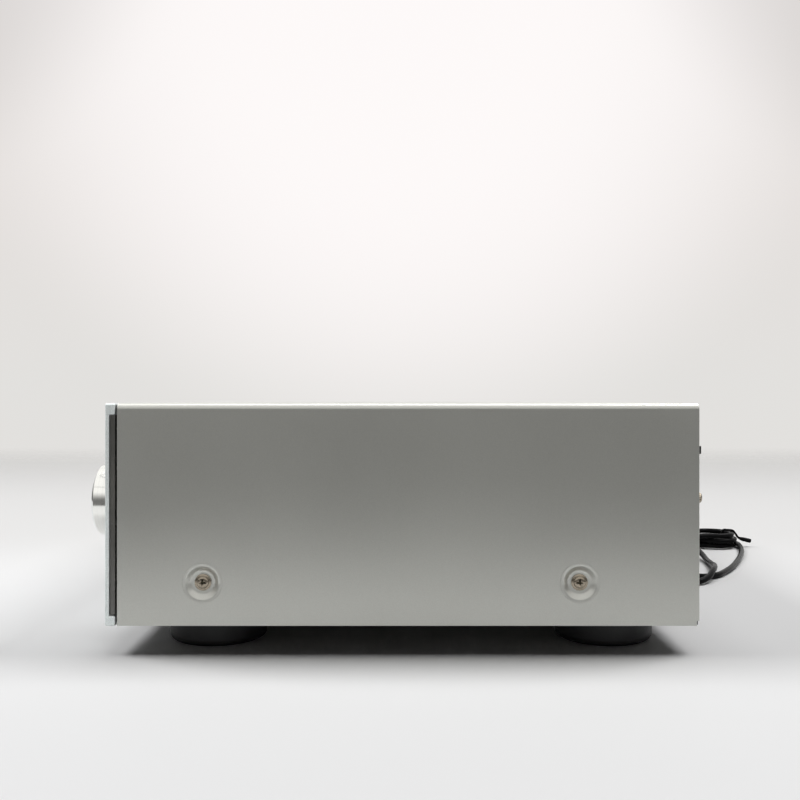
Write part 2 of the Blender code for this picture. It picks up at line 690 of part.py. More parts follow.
def build_ground_terminal():
    at = (GROUND_X, REAR_OUTER, GROUND_Z)
    post = [(4.5, -STEEL - 2.5), (4.5, -STEEL - GAP), (STUD_RADIUS, -STEEL - GAP), (STUD_RADIUS, 9.0)]
    part("ground_post", "screw_metal", turned(post, SMALL), at, "rear", True)
    reach = STUD_RADIUS + GAP
    nut = [(reach, 9.3), (reach, GAP + 1), (3.8, GAP + 1), (3.8, 3.0), (3.4, 3.6), (3.4, 13.0), (2.8, 13.8)]
    part("ground_nut", "screw_metal", turned(nut, SMALL), at, "rear", True)


def build_speaker_terminals():
    at = (SPEAKER_X, REAR_OUTER, POST_Z)
    rise = POST_BASE_REAR - REAR_OUTER
    body = stepped([(76, 17, -12), (76, 17, GAP), (88, 26, GAP), (88, 26, GAP + 2.2)])
    base = part("speaker_terminal_base", "black_plastic", body, at, "rear")
    studs = bmesh.new()
    for x in POST_XS.values():
        place = (x - SPEAKER_X, 0)
        add_loft(studs, [
            circle(6.4, 1, SMALL, place), circle(6.4, rise - GAP, SMALL, place),
            circle(STUD_RADIUS, rise - GAP, SMALL, place), circle(STUD_RADIUS, rise + 8, SMALL, place)])
    helper(base, "speaker_studs", studs, "UNION", at, "rear")
    length = POST_REAR - POST_BASE_REAR
    reach = STUD_RADIUS + GAP
    cap = [
        (reach, 8 + GAP), (reach, 0), (5.6, 0), (6.2, 0.8), (6.2, length - 1.0), (5.4, length),
    ]
    for name, x in POST_XS.items():
        finish = "red_plastic" if name.endswith("positive") else "black_plastic"
        part(name, finish, turned(cap, SMALL), (x, POST_BASE_REAR, POST_Z), "rear", True)


# ---------------------------------------------------------------- power cord

def smooth_curve(points, steps=10):
    """Points along a centripetal Catmull-Rom curve through the route's own points."""
    route = [Vector(point) for point in points]
    route = [2 * route[0] - route[1]] + route + [2 * route[-1] - route[-2]]
    curve = []
    for a, b, c, d in zip(route, route[1:], route[2:], route[3:]):
        knots = [0.0]
        for first, second in ((a, b), (b, c), (c, d)):
            knots.append(knots[-1] + math.sqrt((second - first).length))
        for step in range(steps):
            at = knots[1] + (knots[2] - knots[1]) * step / steps
            line = [mix(a, b, knots[0], knots[1], at), mix(b, c, knots[1], knots[2], at),
                    mix(c, d, knots[2], knots[3], at)]
            bend = [mix(line[0], line[1], knots[0], knots[2], at), mix(line[1], line[2], knots[1], knots[3], at)]
            curve.append(mix(bend[0], bend[1], knots[1], knots[2], at))
    curve.append(route[-2])
    return curve


def mix(first, second, start, end, at):
    return first + (second - first) * ((at - start) / (end - start))


def evenly(curve, spacing):
    """Points a fixed distance apart along a curve, with both of its ends."""
    length = sum((b - a).length for a, b in zip(curve, curve[1:]))
    count = max(2, round(length / spacing))
    points = [curve[0]]
    walked = 0.0
    for a, b in zip(curve, curve[1:]):
        stretch = (b - a).length
        while len(points) < count and walked + stretch >= length * len(points) / count:
            points.append(a + (b - a) * ((length * len(points) / count - walked) / stretch))
        walked += stretch
    points.append(curve[-1])
    return points


def hank_half_width(y):
    """Half width of the hank's outer strand: full at the folds and pulled in at the tie."""
    share = min(1.0, max(0.0, (abs(y) - HANK_TIE) / (HANK_RUN - HANK_TIE)))
    share = 0.5 - 0.5 * math.cos(math.pi * share)
    return HANK_WAIST + (HANK_FOLD - HANK_WAIST) * share


def clear_of_hank(point):
    """Whether a cord centred on this point stays outside the hank's solid."""
    reach = 2 * CORD_RADIUS + 0.9
    x = point.x - HANK_X
    y = point.y - HANK_Y
    if abs(y) > HANK_RUN:
        return math.hypot(x, abs(y) - HANK_RUN) > HANK_FOLD + reach
    return abs(x) > hank_half_width(y) + reach


def cord_tube(name, points):
    curve = bpy.data.curves.new(name, "CURVE")
    curve.dimensions = "3D"
    curve.bevel_depth = CORD_RADIUS * MM
    curve.bevel_resolution = 2
    curve.use_fill_caps = True
    spline = curve.splines.new("POLY")
    spline.points.add(len(points) - 1)
    for slot, point in zip(spline.points, points):
        slot.co = (*(point * MM), 1.0)
    curve.materials.append(finish_material(name, "cord_rubber"))
    tube = bpy.data.objects.new(name, curve)
    bpy.context.scene.collection.objects.link(tube)


def build_cord():
    gland = [
        (7.5, -9.0), (7.5, -STEEL - GAP), (5.3, -STEEL - GAP), (5.3, GAP), (8.5, GAP), (8.5, 2.4), (6.2, 3.4),
        (5.4, 8.0), (3.5, GLAND_END - REAR_OUTER),
    ]
    part("cord_strain_relief", "cord_rubber", turned(gland, SMALL), (CORD_X, REAR_OUTER, CORD_Z), "rear", True)
    spacing = 5 * CORD_RADIUS
    lead = [point for point in smooth_curve(LEAD_ROUTE) if clear_of_hank(point)]
    cord_tube("power_cord", evenly(lead, spacing))
    tail = [point for point in smooth_curve(TAIL_ROUTE) if clear_of_hank(point)]
    cord_tube("power_cord_end", evenly(tail, spacing))

    skin = CORD_RADIUS + 0.3
    runs = 8
    outline = arc((0, HANK_RUN), HANK_FOLD + skin, 0, 180, 12)
    sides = [HANK_RUN - 2 * HANK_RUN * i / runs for i in range(1, runs)]
    outline += [(-hank_half_width(y) - skin, y) for y in sides]
    outline += arc((0, -HANK_RUN), HANK_FOLD + skin, 180, 360, 12)
    outline += [(hank_half_width(y) + skin, y) for y in reversed(sides)]
    hank = loft([[(x, y, z) for x, y in outline] for z in (0, HANK_TOP)])
    part("power_cord_hank", "cord_rubber", hank, (HANK_X, HANK_Y, 0))

    body = [
        (5.6, 5.6, 0), (7.6, 7.6, 13), (12, 22, 16), (13.6, 25, 22), (13.6, 25, 38), (12.4, 23.5, 40),
    ]
    plug = part("power_plug", "black_plastic", stepped(body), (PLUG_X, PLUG_Y, PLUG_Z), "left")
    blades = []
    for side in (-1, 1):
        y = side * 6.35
        blades.append(((-3.1, y - 0.75, 36), (3.1, y + 0.75, 57)))
    helper(plug, "plug_blades", boxes(blades), "UNION", (PLUG_X, PLUG_Y, PLUG_Z), "left")


def main():
    clear_scene()
    build_cover()
    build_tray()
    build_rear_panel()
    build_fasteners()
    build_feet()
    build_fascia()
    build_display()
    build_large_knobs()
    build_tone_knobs()
    build_buttons()
    build_headphone_jack()
    build_inside()
    build_line_jacks()
    build_antenna()
    build_ground_terminal()
    build_speaker_terminals()
    build_cord()


main()
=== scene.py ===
"""Looks of the stereo receiver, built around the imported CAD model.

Detail sizes are in millimetres and become metres as each mesh is made. Places come from the CAD nodes' boxes.
"""

import json
import math

import bmesh
import bpy
from mathutils import Matrix, Vector


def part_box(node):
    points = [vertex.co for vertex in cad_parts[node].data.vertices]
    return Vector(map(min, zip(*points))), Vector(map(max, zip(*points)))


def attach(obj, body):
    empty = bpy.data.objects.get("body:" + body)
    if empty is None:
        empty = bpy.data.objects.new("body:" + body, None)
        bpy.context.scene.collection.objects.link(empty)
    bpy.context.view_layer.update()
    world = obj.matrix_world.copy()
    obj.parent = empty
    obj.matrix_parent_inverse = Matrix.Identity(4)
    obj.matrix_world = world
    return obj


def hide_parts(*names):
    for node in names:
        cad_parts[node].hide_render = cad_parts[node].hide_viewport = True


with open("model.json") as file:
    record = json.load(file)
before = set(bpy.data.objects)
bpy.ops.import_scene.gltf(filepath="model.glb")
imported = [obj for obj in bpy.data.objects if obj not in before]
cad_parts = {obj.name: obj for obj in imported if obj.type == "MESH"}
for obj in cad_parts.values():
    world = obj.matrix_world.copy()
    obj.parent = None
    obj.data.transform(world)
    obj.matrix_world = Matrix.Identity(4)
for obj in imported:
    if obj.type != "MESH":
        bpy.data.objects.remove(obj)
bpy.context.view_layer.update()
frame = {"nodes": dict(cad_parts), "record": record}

MM = 0.001
SLOT_OF = {entry["node"]: entry["material_slot"] for entry in frame["record"]["subparts"]}
BODY_OF = {node: body for body, members in frame["record"]["behaviour"]["bodies"].items() for node in members}

# Turns that carry a piece's own +Z to the way it faces
FACING = {
    "up": Matrix.Identity(4),
    "front": Matrix.Rotation(math.pi / 2, 4, "X"),
    "rear": Matrix.Rotation(-math.pi / 2, 4, "X"),
    "right": Matrix.Rotation(math.pi / 2, 4, "Y"),
    "left": Matrix.Rotation(-math.pi / 2, 4, "Y"),
}


def box_mm(node):
    low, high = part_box(node)
    return low / MM, high / MM


def middle_mm(node):
    low, high = box_mm(node)
    return (low + high) / 2


FASCIA_Y = box_mm("front_panel")[0].y
REAR_Y = box_mm("rear_panel")[1].y

# ---------------------------------------------------------------- camera and room

CAMERA = Vector((778.5, 1.0, 153.3))
LENS = 41.85
SENSOR_WIDTH = 36.0

# Brightness of the surroundings, for diffuse light and in reflections
ROOM_LIGHT = 0.02
ROOM_SHINE = 0.17
CEILING_SHINE = 1.12
BACKDROP_LIGHT = 0.25
BACKDROP_SHINE = 0.85

# Z of the directions between which the ceiling brightens, and (z, half width, light) of its dark seams
CEILING_RISE = (0.03, 0.60)
CEILING_SEAMS = ((0.70, 0.03, 0.5), (0.965, 0.012, 0.5))
# X of the directions between which the backdrop's side starts and is complete
BACKDROP_RISE = (-0.20, -0.75)

# Where the floor's changes start and are complete, in metres
FLOOR_RADIUS = 9.0
FLOOR_DULLS = (0.05, -0.30)
FLOOR_NEAR_FADE = (0.45, 0.56)
FLOOR_FAR_FADE = (-0.6, -2.3)
FLOOR_SIDE_FADE = (1.1, 2.4)

# Name, place, aim, size and power, in metres and watts
LAMPS = (
    ("overhead_light", (-0.36, 0.0, 3.0), (-0.36, 0.0, 0.0), (1.15, 1.6), 21.0),
    ("front_side_light", (-0.22, -1.7, 2.0), (-0.10, 0.0, 0.0), (0.9, 0.85), 34.5),
    ("rear_side_light", (-0.25, 1.4, 2.3), (-0.10, 0.0, 0.0), (0.95, 1.2), 39.0),
)


def add_camera():
    data = bpy.data.cameras.new("camera")
    data.lens = LENS
    data.sensor_width = SENSOR_WIDTH
    data.clip_start = 0.01
    camera = bpy.data.objects.new("camera", data)
    camera.location = CAMERA * MM
    camera.rotation_euler = (math.pi / 2, 0, math.pi / 2)
    bpy.context.scene.collection.objects.link(camera)
    bpy.context.scene.camera = camera


def add_area_light(name, place, aim, size, power):
    data = bpy.data.lights.new(name, "AREA")
    data.shape = "RECTANGLE"
    data.size, data.size_y = size
    data.energy = power
    light = bpy.data.objects.new(name, data)
    light.location = place
    light.rotation_euler = (Vector(aim) - Vector(place)).to_track_quat("-Z", "Y").to_euler()
    bpy.context.scene.collection.objects.link(light)


class Graph:
    """Short calls for building a node tree."""

    def __init__(self, tree):
        self.nodes = tree.nodes
        self.links = tree.links

    def node(self, kind, **settings):
        made = self.nodes.new(kind)
        for key, value in settings.items():
            setattr(made, key, value)
        return made

    def feed(self, socket, value):
        if isinstance(value, bpy.types.NodeSocket):
            self.links.new(value, socket)
        else:
            socket.default_value = value

    def math(self, operation, *values):
        made = self.node("ShaderNodeMath", operation=operation)
        for socket, value in zip(made.inputs, values):
            self.feed(socket, value)
        return made.outputs[0]

    def remap(self, value, low, high, new_low, new_high, smooth=False):
        made = self.node("ShaderNodeMapRange", interpolation_type="SMOOTHSTEP" if smooth else "LINEAR")
        for socket, entry in zip(made.inputs, (value, low, high, new_low, new_high)):
            self.feed(socket, entry)
        return made.outputs[0]

    def blend(self, share, first, second):
        made = self.node("ShaderNodeMix", data_type="RGBA")
        self.feed(made.inputs["Factor"], share)
        self.feed(made.inputs[6], first)
        self.feed(made.inputs[7], second)
        return made.outputs[2]


def grey(value):
    return (value, value, value, 1.0)


def add_world():
    """A studio as each kind of ray sees it. The camera sees a pale backdrop. Reflections see a dim room, a
    bright ceiling with dark seams, and the backdrop's side. The lamps give most of the diffuse light."""
    world = bpy.data.worlds.new("studio")
    world.use_nodes = True
    graph = Graph(world.node_tree)
    graph.nodes.clear()
    direction = graph.node("ShaderNodeTexCoord").outputs["Generated"]
    split = graph.node("ShaderNodeSeparateXYZ")
    graph.feed(split.inputs[0], direction)
    x, y, z = split.outputs
    path = graph.node("ShaderNodeLightPath").outputs
    strength = graph.remap(path["Is Glossy Ray"], 0.0, 1.0, BACKDROP_LIGHT, BACKDROP_SHINE)
    ceiling = graph.remap(z, *CEILING_RISE, ROOM_SHINE, CEILING_SHINE, True)
    for height, half_width, light in CEILING_SEAMS:
        away = graph.math("ABSOLUTE", graph.math("SUBTRACT", z, height))
        gap = graph.remap(away, 0.0, half_width, light, 1.0, True)
        ceiling = graph.math("MULTIPLY", ceiling, gap)
    room = graph.blend(path["Is Glossy Ray"], grey(ROOM_LIGHT), ceiling)
    far_side = graph.math("MULTIPLY", graph.remap(x, *BACKDROP_RISE, 0.0, 1.0, True), strength)
    lit = graph.blend(graph.math("MAXIMUM", far_side, room), grey(0.0), (1.0, 0.99, 0.975, 1.0))
    # The backdrop is brightest in the middle of the picture, and its top corners are darker
    glow = graph.node("ShaderNodeVectorMath", operation="DOT_PRODUCT")
    graph.feed(glow.inputs[0], direction)
    glow.inputs[1].default_value = Vector((-1.0, 0.0, 0.40)).normalized()
    seen = graph.remap(glow.outputs["Value"], 0.89, 0.995, 0.0, 1.0, True)
    up = graph.remap(z, 0.02, 0.2, 0.0, 1.0)
    edge = graph.blend(up, (0.760, 0.748, 0.728, 1.0), (0.775, 0.742, 0.722, 1.0))
    backdrop = graph.blend(seen, edge, (0.985, 0.95, 0.945, 1.0))
    corner = graph.math("MULTIPLY", graph.math("ABSOLUTE", y), z)
    shade = graph.remap(corner, 0.08, 0.135, 0.0, 0.14, True)
    backdrop = graph.blend(shade, backdrop, grey(0.0))
    shown = graph.blend(path["Is Camera Ray"], lit, backdrop)
    background = graph.node("ShaderNodeBackground")
    graph.feed(background.inputs["Color"], shown)
    output = graph.node("ShaderNodeOutputWorld")
    graph.feed(output.inputs["Surface"], background.outputs[0])
    bpy.context.scene.world = world
    bpy.context.scene.view_settings.view_transform = "Standard"


def add_floor():
    """A pale paper floor that fades into the backdrop, and ends between the receiver and the camera."""
    bm = bmesh.new()
    bmesh.ops.create_circle(bm, cap_ends=True, segments=96, radius=FLOOR_RADIUS)
    mesh = bpy.data.meshes.new("floor")
    bm.to_mesh(mesh)
    bm.free()
    floor = bpy.data.objects.new("floor", mesh)
    bpy.context.scene.collection.objects.link(floor)
    material = bpy.data.materials.new("floor_paper")
    material.use_nodes = True
    graph = Graph(material.node_tree)
    shader = graph.nodes["Principled BSDF"]
    shader.inputs["Roughness"].default_value = 0.6
    shader.inputs["Specular IOR Level"].default_value = 0.1
    coordinates = graph.node("ShaderNodeTexCoord").outputs["Object"]
    split = graph.node("ShaderNodeSeparateXYZ")
    graph.feed(split.inputs[0], coordinates)
    x, y, _ = split.outputs
    mottle = graph.node("ShaderNodeTexNoise")
    mottle.inputs["Scale"].default_value = 3.0
    graph.feed(mottle.inputs["Vector"], coordinates)
    paper = graph.blend(mottle.outputs[0], (0.80, 0.80, 0.80, 1.0), (0.825, 0.825, 0.832, 1.0))
    distant = graph.remap(x, *FLOOR_DULLS, 0.0, 1.0, True)
    graph.feed(shader.inputs["Base Color"], graph.blend(distant, paper, (0.725, 0.72, 0.715, 1.0)))
    near = graph.remap(x, *FLOOR_NEAR_FADE, 0.0, 1.0, True)
    far = graph.remap(x, *FLOOR_FAR_FADE, 0.0, 1.0, True)
    aside = graph.remap(graph.math("ABSOLUTE", y), *FLOOR_SIDE_FADE, 0.0, 1.0, True)
    fade = graph.math("MAXIMUM", graph.math("MAXIMUM", near, far), aside)
    mix = graph.node("ShaderNodeMixShader")
    graph.feed(mix.inputs[0], fade)
    graph.feed(mix.inputs[1], shader.outputs[0])
    graph.feed(mix.inputs[2], graph.node("ShaderNodeBsdfTransparent").outputs[0])
    graph.feed(graph.nodes["Material Output"].inputs["Surface"], mix.outputs[0])
    floor.data.materials.append(material)


# ---------------------------------------------------------------- materials

class Surface:
    """A Principled material whose colour, roughness and relief come from procedural textures."""

    def __init__(self, name, colour, roughness, metallic=0.0, coat=0.0, specular=0.5):
        self.material = bpy.data.materials.new(name)
        self.material.use_nodes = True
        self.graph = Graph(self.material.node_tree)
        self.shader = self.graph.nodes["Principled BSDF"]
        self.colour = (*colour, 1.0)
        self.shader.inputs["Base Color"].default_value = self.colour
        self.shader.inputs["Roughness"].default_value = roughness
        self.shader.inputs["Metallic"].default_value = metallic
        self.shader.inputs["Coat Weight"].default_value = coat
        self.shader.inputs["Specular IOR Level"].default_value = specular
        self.roughness = roughness

    def place(self, stretch=(1, 1, 1)):
        """The piece's own coordinates, in metres, stretched."""
        mapping = self.graph.node("ShaderNodeMapping")
        mapping.inputs["Scale"].default_value = stretch
        self.graph.feed(mapping.inputs["Vector"], self.graph.node("ShaderNodeTexCoord").outputs["Object"])
        return mapping.outputs[0]

    def round_place(self):
        """Radius and height about the piece's own axis, so that a texture on it runs in turned rings."""
        graph = self.graph
        split = graph.node("ShaderNodeSeparateXYZ")
        graph.feed(split.inputs[0], graph.node("ShaderNodeTexCoord").outputs["Object"])
        square = graph.math("ADD", graph.math("POWER", split.outputs[0], 2.0),
                            graph.math("POWER", split.outputs[1], 2.0))
        join = graph.node("ShaderNodeCombineXYZ")
        graph.feed(join.inputs[0], graph.math("SQRT", square))
        graph.feed(join.inputs[1], split.outputs[2])
        return join.outputs[0]

    def noise(self, scale, place=None, detail=2.0, roughness=0.5):
        made = self.graph.node("ShaderNodeTexNoise")
        made.inputs["Scale"].default_value = scale
        made.inputs["Detail"].default_value = detail
        made.inputs["Roughness"].default_value = roughness
        self.graph.feed(made.inputs["Vector"], place or self.place())
        return made.outputs[0]

    def cells(self, scale, feature="F1"):
        made = self.graph.node("ShaderNodeTexVoronoi", feature=feature)
        made.inputs["Scale"].default_value = scale
        self.graph.feed(made.inputs["Vector"], self.place())
        return made.outputs["Distance"]

    def tint(self, texture, low, high, dark=0.85, light=1.12):
        """Vary the base colour between two multiples of itself."""
        share = self.graph.remap(texture, low, high, 0.0, 1.0)
        first = tuple(min(1.0, channel * dark) for channel in self.colour[:3]) + (1.0,)
        second = tuple(min(1.0, channel * light) for channel in self.colour[:3]) + (1.0,)
        self.graph.feed(self.shader.inputs["Base Color"], self.graph.blend(share, first, second))
        return self

    def smear(self, texture, low, high, spread):
        """Vary the roughness around its own value."""
        value = self.graph.remap(texture, low, high, self.roughness - spread, self.roughness + spread)
        self.graph.feed(self.shader.inputs["Roughness"], value)
        return self

    def relief(self, texture, depth_mm, strength=1.0):
        bump = self.graph.node("ShaderNodeBump")
        bump.inputs["Strength"].default_value = strength
        bump.inputs["Distance"].default_value = depth_mm * MM
        self.graph.feed(bump.inputs["Height"], texture)
        normal = self.shader.inputs["Normal"]
        if normal.is_linked:
            self.graph.feed(bump.inputs["Normal"], normal.links[0].from_socket)
        self.graph.feed(normal, bump.outputs[0])
        return self


def noisy(name, colour, roughness, tint=None, smear=None, relief=None, **settings):
    """A Surface varied by noise. tint is (scale, detail, darkest, lightest), smear is (scale, detail, spread)
    and relief is (scale, detail, depth in mm, strength)."""
    surface = Surface(name, colour, roughness, **settings)
    if tint:
        surface.tint(surface.noise(tint[0], detail=tint[1]), 0.3, 0.7, *tint[2:])
    if smear:
        surface.smear(surface.noise(smear[0], detail=smear[1]), 0.3, 0.7, smear[2])
    if relief:
        surface.relief(surface.noise(relief[0], detail=relief[1]), *relief[2:])
    return surface


def make_materials():
    looks = {
        "polished": noisy(
            "knob_polished", (0.80, 0.81, 0.80), 0.07, None, (400, 2, 0.02), (500, 2, 0.004, 0.4),
            metallic=1.0),
        "foot_plastic": noisy(
            "foot_plastic", (0.018, 0.018, 0.019), 0.55, (60, 4, 0.8, 1.3), (1800, 2, 0.08),
            (1800, 2, 0.05, 0.6)),
        "dark_moulding": noisy(
            "backing_moulding", (0.23, 0.225, 0.205), 0.24, (40, 3, 0.85, 1.12), (300, 2, 0.05),
            (120, 2, 0.03, 0.5), coat=0.3),
        "black_steel": noisy(
            "rear_powder", (0.030, 0.031, 0.033), 0.48, (20, 4, 0.85, 1.2), (1100, 2, 0.07),
            (1100, 2, 0.05, 0.7), metallic=0.1),
        # Painted shade: a near-black olive for the inside of the screws' cross recesses
        "screw_recess_painted_shade": noisy(
            "screw_recess_painted_shade", (0.075, 0.068, 0.045), 0.5, (800, 2, 0.7, 1.3), (900, 2, 0.08), metallic=0.6),
        "fascia_end": noisy(
            "fascia_sawn_end", (0.88, 0.93, 0.925), 0.62, (1500, 2, 0.86, 1.05), (1500, 2, 0.08),
            (1500, 2, 0.05, 0.6), metallic=1.0),
        "black_plastic": noisy(
            "black_plastic", (0.022, 0.022, 0.023), 0.38, (70, 3, 0.8, 1.25), (1400, 2, 0.07),
            (1400, 2, 0.025, 0.6)),
        "red_plastic": noisy(
            "red_plastic", (0.42, 0.018, 0.016), 0.3, (200, 3, 0.85, 1.12), (900, 2, 0.06),
            (1400, 2, 0.02, 0.5), coat=0.2),
        "white_plastic": noisy(
            "white_plastic", (0.74, 0.74, 0.71), 0.34, (200, 3, 0.93, 1.03), (900, 2, 0.05),
            (1400, 2, 0.02, 0.5)),
        "cord_rubber": noisy(
            "cord_pvc", (0.008, 0.008, 0.0085), 0.25, (90, 4, 0.8, 1.4), (350, 3, 0.07),
            (420, 2, 0.03, 0.4), specular=0.035),
        "indicator_lens": noisy(
            "indicator_lens", (0.25, 0.02, 0.015), 0.12, (900, 2, 0.8, 1.2), (500, 2, 0.03), coat=0.6),
        "panel_ink": noisy("panel_ink", (0.62, 0.62, 0.60), 0.5, (700, 3, 0.85, 1.08), (900, 2, 0.06)),
        # Painted shade: a near-black for hollows, the knobs' mark grooves and the headphone socket's bore
        "painted_hollow_shade": noisy("painted_hollow_shade", (0.006, 0.006, 0.006), 0.7, (300, 2, 0.7, 1.5), (900, 2, 0.06)),
    }

    paint = Surface("cover_paint", (0.625, 0.63, 0.59), 0.36, 0.75)
    flake = paint.noise(2600.0, detail=1.0)
    mixed = paint.graph.math("ADD", paint.graph.math("MULTIPLY", flake, 0.6),
                             paint.graph.math("MULTIPLY", paint.noise(6.0), 0.4))
    paint.tint(mixed, 0.3, 0.7, 0.94, 1.06)
    paint.smear(paint.noise(9.0, detail=3.0), 0.3, 0.7, 0.025)
    paint.relief(paint.noise(1500.0, detail=1.0), 0.02, 0.5)
    looks["cover_paint"] = paint

    fascia = Surface("fascia_brushed", (0.84, 0.87, 0.87), 0.33, 0.45)
    hairline = fascia.noise(1.0, fascia.place((14.0, 2600.0, 2600.0)), 3.0, 0.6)
    fascia.tint(hairline, 0.3, 0.7, 0.93, 1.05)
    fascia.smear(hairline, 0.3, 0.7, 0.06)
    fascia.relief(hairline, 0.012, 0.6)
    looks["fascia_metal"] = fascia

    knob = Surface("knob_spun", (0.94, 0.94, 0.905), 0.13, 1.0)
    rings = knob.noise(3200.0, knob.round_place(), 2.0, 0.6)
    knob.tint(rings, 0.3, 0.7, 0.94, 1.05)
    knob.smear(rings, 0.3, 0.7, 0.03)
    knob.relief(rings, 0.003, 0.5)
    looks["knob_metal"] = knob

    window = Surface("smoked_window", (0.010, 0.011, 0.013), 0.05, coat=1.0, specular=0.6)
    grid = window.graph.node("ShaderNodeTexBrick")
    grid.offset = 0.0
    grid.inputs["Scale"].default_value = 1.0
    grid.inputs["Brick Width"].default_value = 0.0052
    grid.inputs["Row Height"].default_value = 0.0075
    grid.inputs["Mortar Size"].default_value = 0.00055
    grid.inputs["Color1"].default_value = (0.013, 0.019, 0.019, 1.0)
    grid.inputs["Color2"].default_value = (0.011, 0.016, 0.017, 1.0)
    grid.inputs["Mortar"].default_value = (0.006, 0.007, 0.008, 1.0)
    turned_place = window.graph.node("ShaderNodeMapping", vector_type="POINT")
    turned_place.inputs["Rotation"].default_value = (math.pi / 2, 0, 0)
    own_place = window.graph.node("ShaderNodeTexCoord").outputs["Object"]
    window.graph.feed(turned_place.inputs["Vector"], own_place)
    window.graph.feed(grid.inputs["Vector"], turned_place.outputs[0])
    window.graph.feed(window.shader.inputs["Base Color"], grid.outputs["Color"])
    window.smear(window.noise(25.0, detail=4.0), 0.35, 0.7, 0.02)
    looks["smoked_window"] = window

    steel = Surface("zinc_steel", (0.56, 0.57, 0.57), 0.36, 0.95)
    spangle = steel.cells(90.0)
    steel.tint(spangle, 0.0, 0.8, 0.85, 1.1)
    steel.smear(steel.noise(30.0, detail=4.0), 0.3, 0.7, 0.08)
    steel.relief(steel.noise(220.0, detail=3.0), 0.02, 0.5)
    looks["steel"] = steel

    screw = Surface("screw_nickel", (0.36, 0.315, 0.25), 0.22, 1.0)
    screw.tint(screw.noise(500.0, detail=4.0), 0.35, 0.7, 0.85, 1.12)
    screw.smear(screw.noise(900.0, detail=2.0), 0.3, 0.7, 0.06)
    screw.relief(screw.noise(1500.0), 0.004, 0.5)
    looks["screw_metal"] = screw

    # Painted shade: the bottom tray's dark grey is darker than bare steel, so less light bounces onto the
    # floor under the body
    tray = Surface("shaded_tray_steel", (0.22, 0.22, 0.215), 0.6, 0.3)
    tray.tint(tray.cells(160.0), 0.0, 0.8, 0.88, 1.12)
    tray.smear(tray.noise(200.0), 0.3, 0.7, 0.08)
    tray.relief(tray.noise(900.0), 0.01, 0.5)
    looks["shaded_tray_steel"] = tray

    gilt = Surface("contact_nickel", (0.80, 0.72, 0.52), 0.2, 1.0)
    gilt.tint(gilt.noise(300.0, detail=3.0), 0.3, 0.7, 0.85, 1.1)
    gilt.smear(gilt.noise(700.0), 0.3, 0.7, 0.06)
    gilt.relief(gilt.noise(2500.0, gilt.round_place()), 0.01, 0.5)
    looks["contact"] = gilt

    sink = Surface("heat_sink_metal", (0.33, 0.33, 0.34), 0.45, 0.9)
    drawn = sink.noise(1.0, sink.place((1500.0, 1500.0, 12.0)), 3.0)
    sink.tint(drawn, 0.3, 0.7, 0.8, 1.15)
    sink.smear(drawn, 0.3, 0.7, 0.07)
    sink.relief(drawn, 0.03, 0.6)
    looks["heat_sink_metal"] = sink

    board = Surface("circuit_board", (0.03, 0.13, 0.055), 0.32, coat=0.4)
    traces = board.cells(160.0, feature="DISTANCE_TO_EDGE")
    board.tint(traces, 0.0, 0.12, 1.9, 0.9)
    board.smear(board.noise(80.0), 0.3, 0.7, 0.06)
    board.relief(traces, 0.05, 0.5)
    looks["circuit_board"] = board

    glass = Surface("display_glass", (0.05, 0.08, 0.075), 0.08, coat=0.5)
    glass.tint(glass.cells(300.0), 0.0, 0.6, 0.7, 1.2)
    glass.smear(glass.noise(60.0), 0.3, 0.7, 0.03)
    looks["display_glass"] = glass

    return {name: surface.material for name, surface in looks.items()}


# ---------------------------------------------------------------- mesh helpers

def circle(radius, height, sides):
    turn = 2 * math.pi / sides
    return [(radius * math.cos(turn * i), radius * math.sin(turn * i), height) for i in range(sides)]


def rounded_rectangle(width, depth, radius, height, centre=(0, 0), corner_steps=6):
    points = []
    for quarter, (sx, sy) in enumerate(((1, 1), (-1, 1), (-1, -1), (1, -1))):
        cx = centre[0] + sx * (width / 2 - radius)
        cy = centre[1] + sy * (depth / 2 - radius)
        for step in range(corner_steps + 1):
            angle = math.pi / 2 * (quarter + step / corner_steps)
            points.append((cx + radius * math.cos(angle), cy + radius * math.sin(angle), height))
    return points


def add_loft(bm, rows, ring=False, material=0):
    """Add a closed solid through rows of equally many points. A ring joins its last row to its first."""
    loops = [[bm.verts.new(point) for point in row] for row in rows]
    count = len(loops[0])
    pairs = list(zip(loops, loops[1:]))
    faces = []
    if ring:
        pairs.append((loops[-1], loops[0]))
    else:
        faces.append(bm.faces.new(loops[0]))
        faces.append(bm.faces.new(loops[-1]))
    for lower, upper in pairs:
        for i in range(count):
            j = (i + 1) % count
            faces.append(bm.faces.new((lower[i], lower[j], upper[j], upper[i])))
    bmesh.ops.recalc_face_normals(bm, faces=faces)
    for face in faces:
        face.material_index = material
    return faces


def add_turned(bm, profile, sides=96, ring=False, material=0, centre=(0, 0), ribs=None):
    """Add a solid turned about +Z. ribs is (count, depth, lowest, highest) of scallops in its side."""
    rows = []
    for radius, height in profile:
        row = circle(radius, height, sides)
        if ribs and ribs[2] <= height <= ribs[3]:
            waves = [0.5 - 0.5 * math.cos(ribs[0] * math.atan2(y, x)) for x, y, z in row]
            cuts = [1.0 - ribs[1] / radius * wave for wave in waves]
            row = [(x * cut, y * cut, z) for (x, y, z), cut in zip(row, cuts)]
        rows.append([(x + centre[0], y + centre[1], z) for x, y, z in row])
    return add_loft(bm, rows, ring, material)


def add_box(bm, low, high, material=0):
    rows = []
    for z in (low[2], high[2]):
        rows.append([
            (low[0], low[1], z), (high[0], low[1], z), (high[0], high[1], z), (low[0], high[1], z),
        ])
    return add_loft(bm, rows, material=material)


def object_in_metres(name, bm, materials=()):
    """Make an object from a bmesh that is in metres already."""
    mesh = bpy.data.meshes.new(name)
    for material in materials:
        mesh.materials.append(LOOKS[material])
    bm.to_mesh(mesh)
    bm.free()
    made = bpy.data.objects.new(name, mesh)
    bpy.context.scene.collection.objects.link(made)
    return made


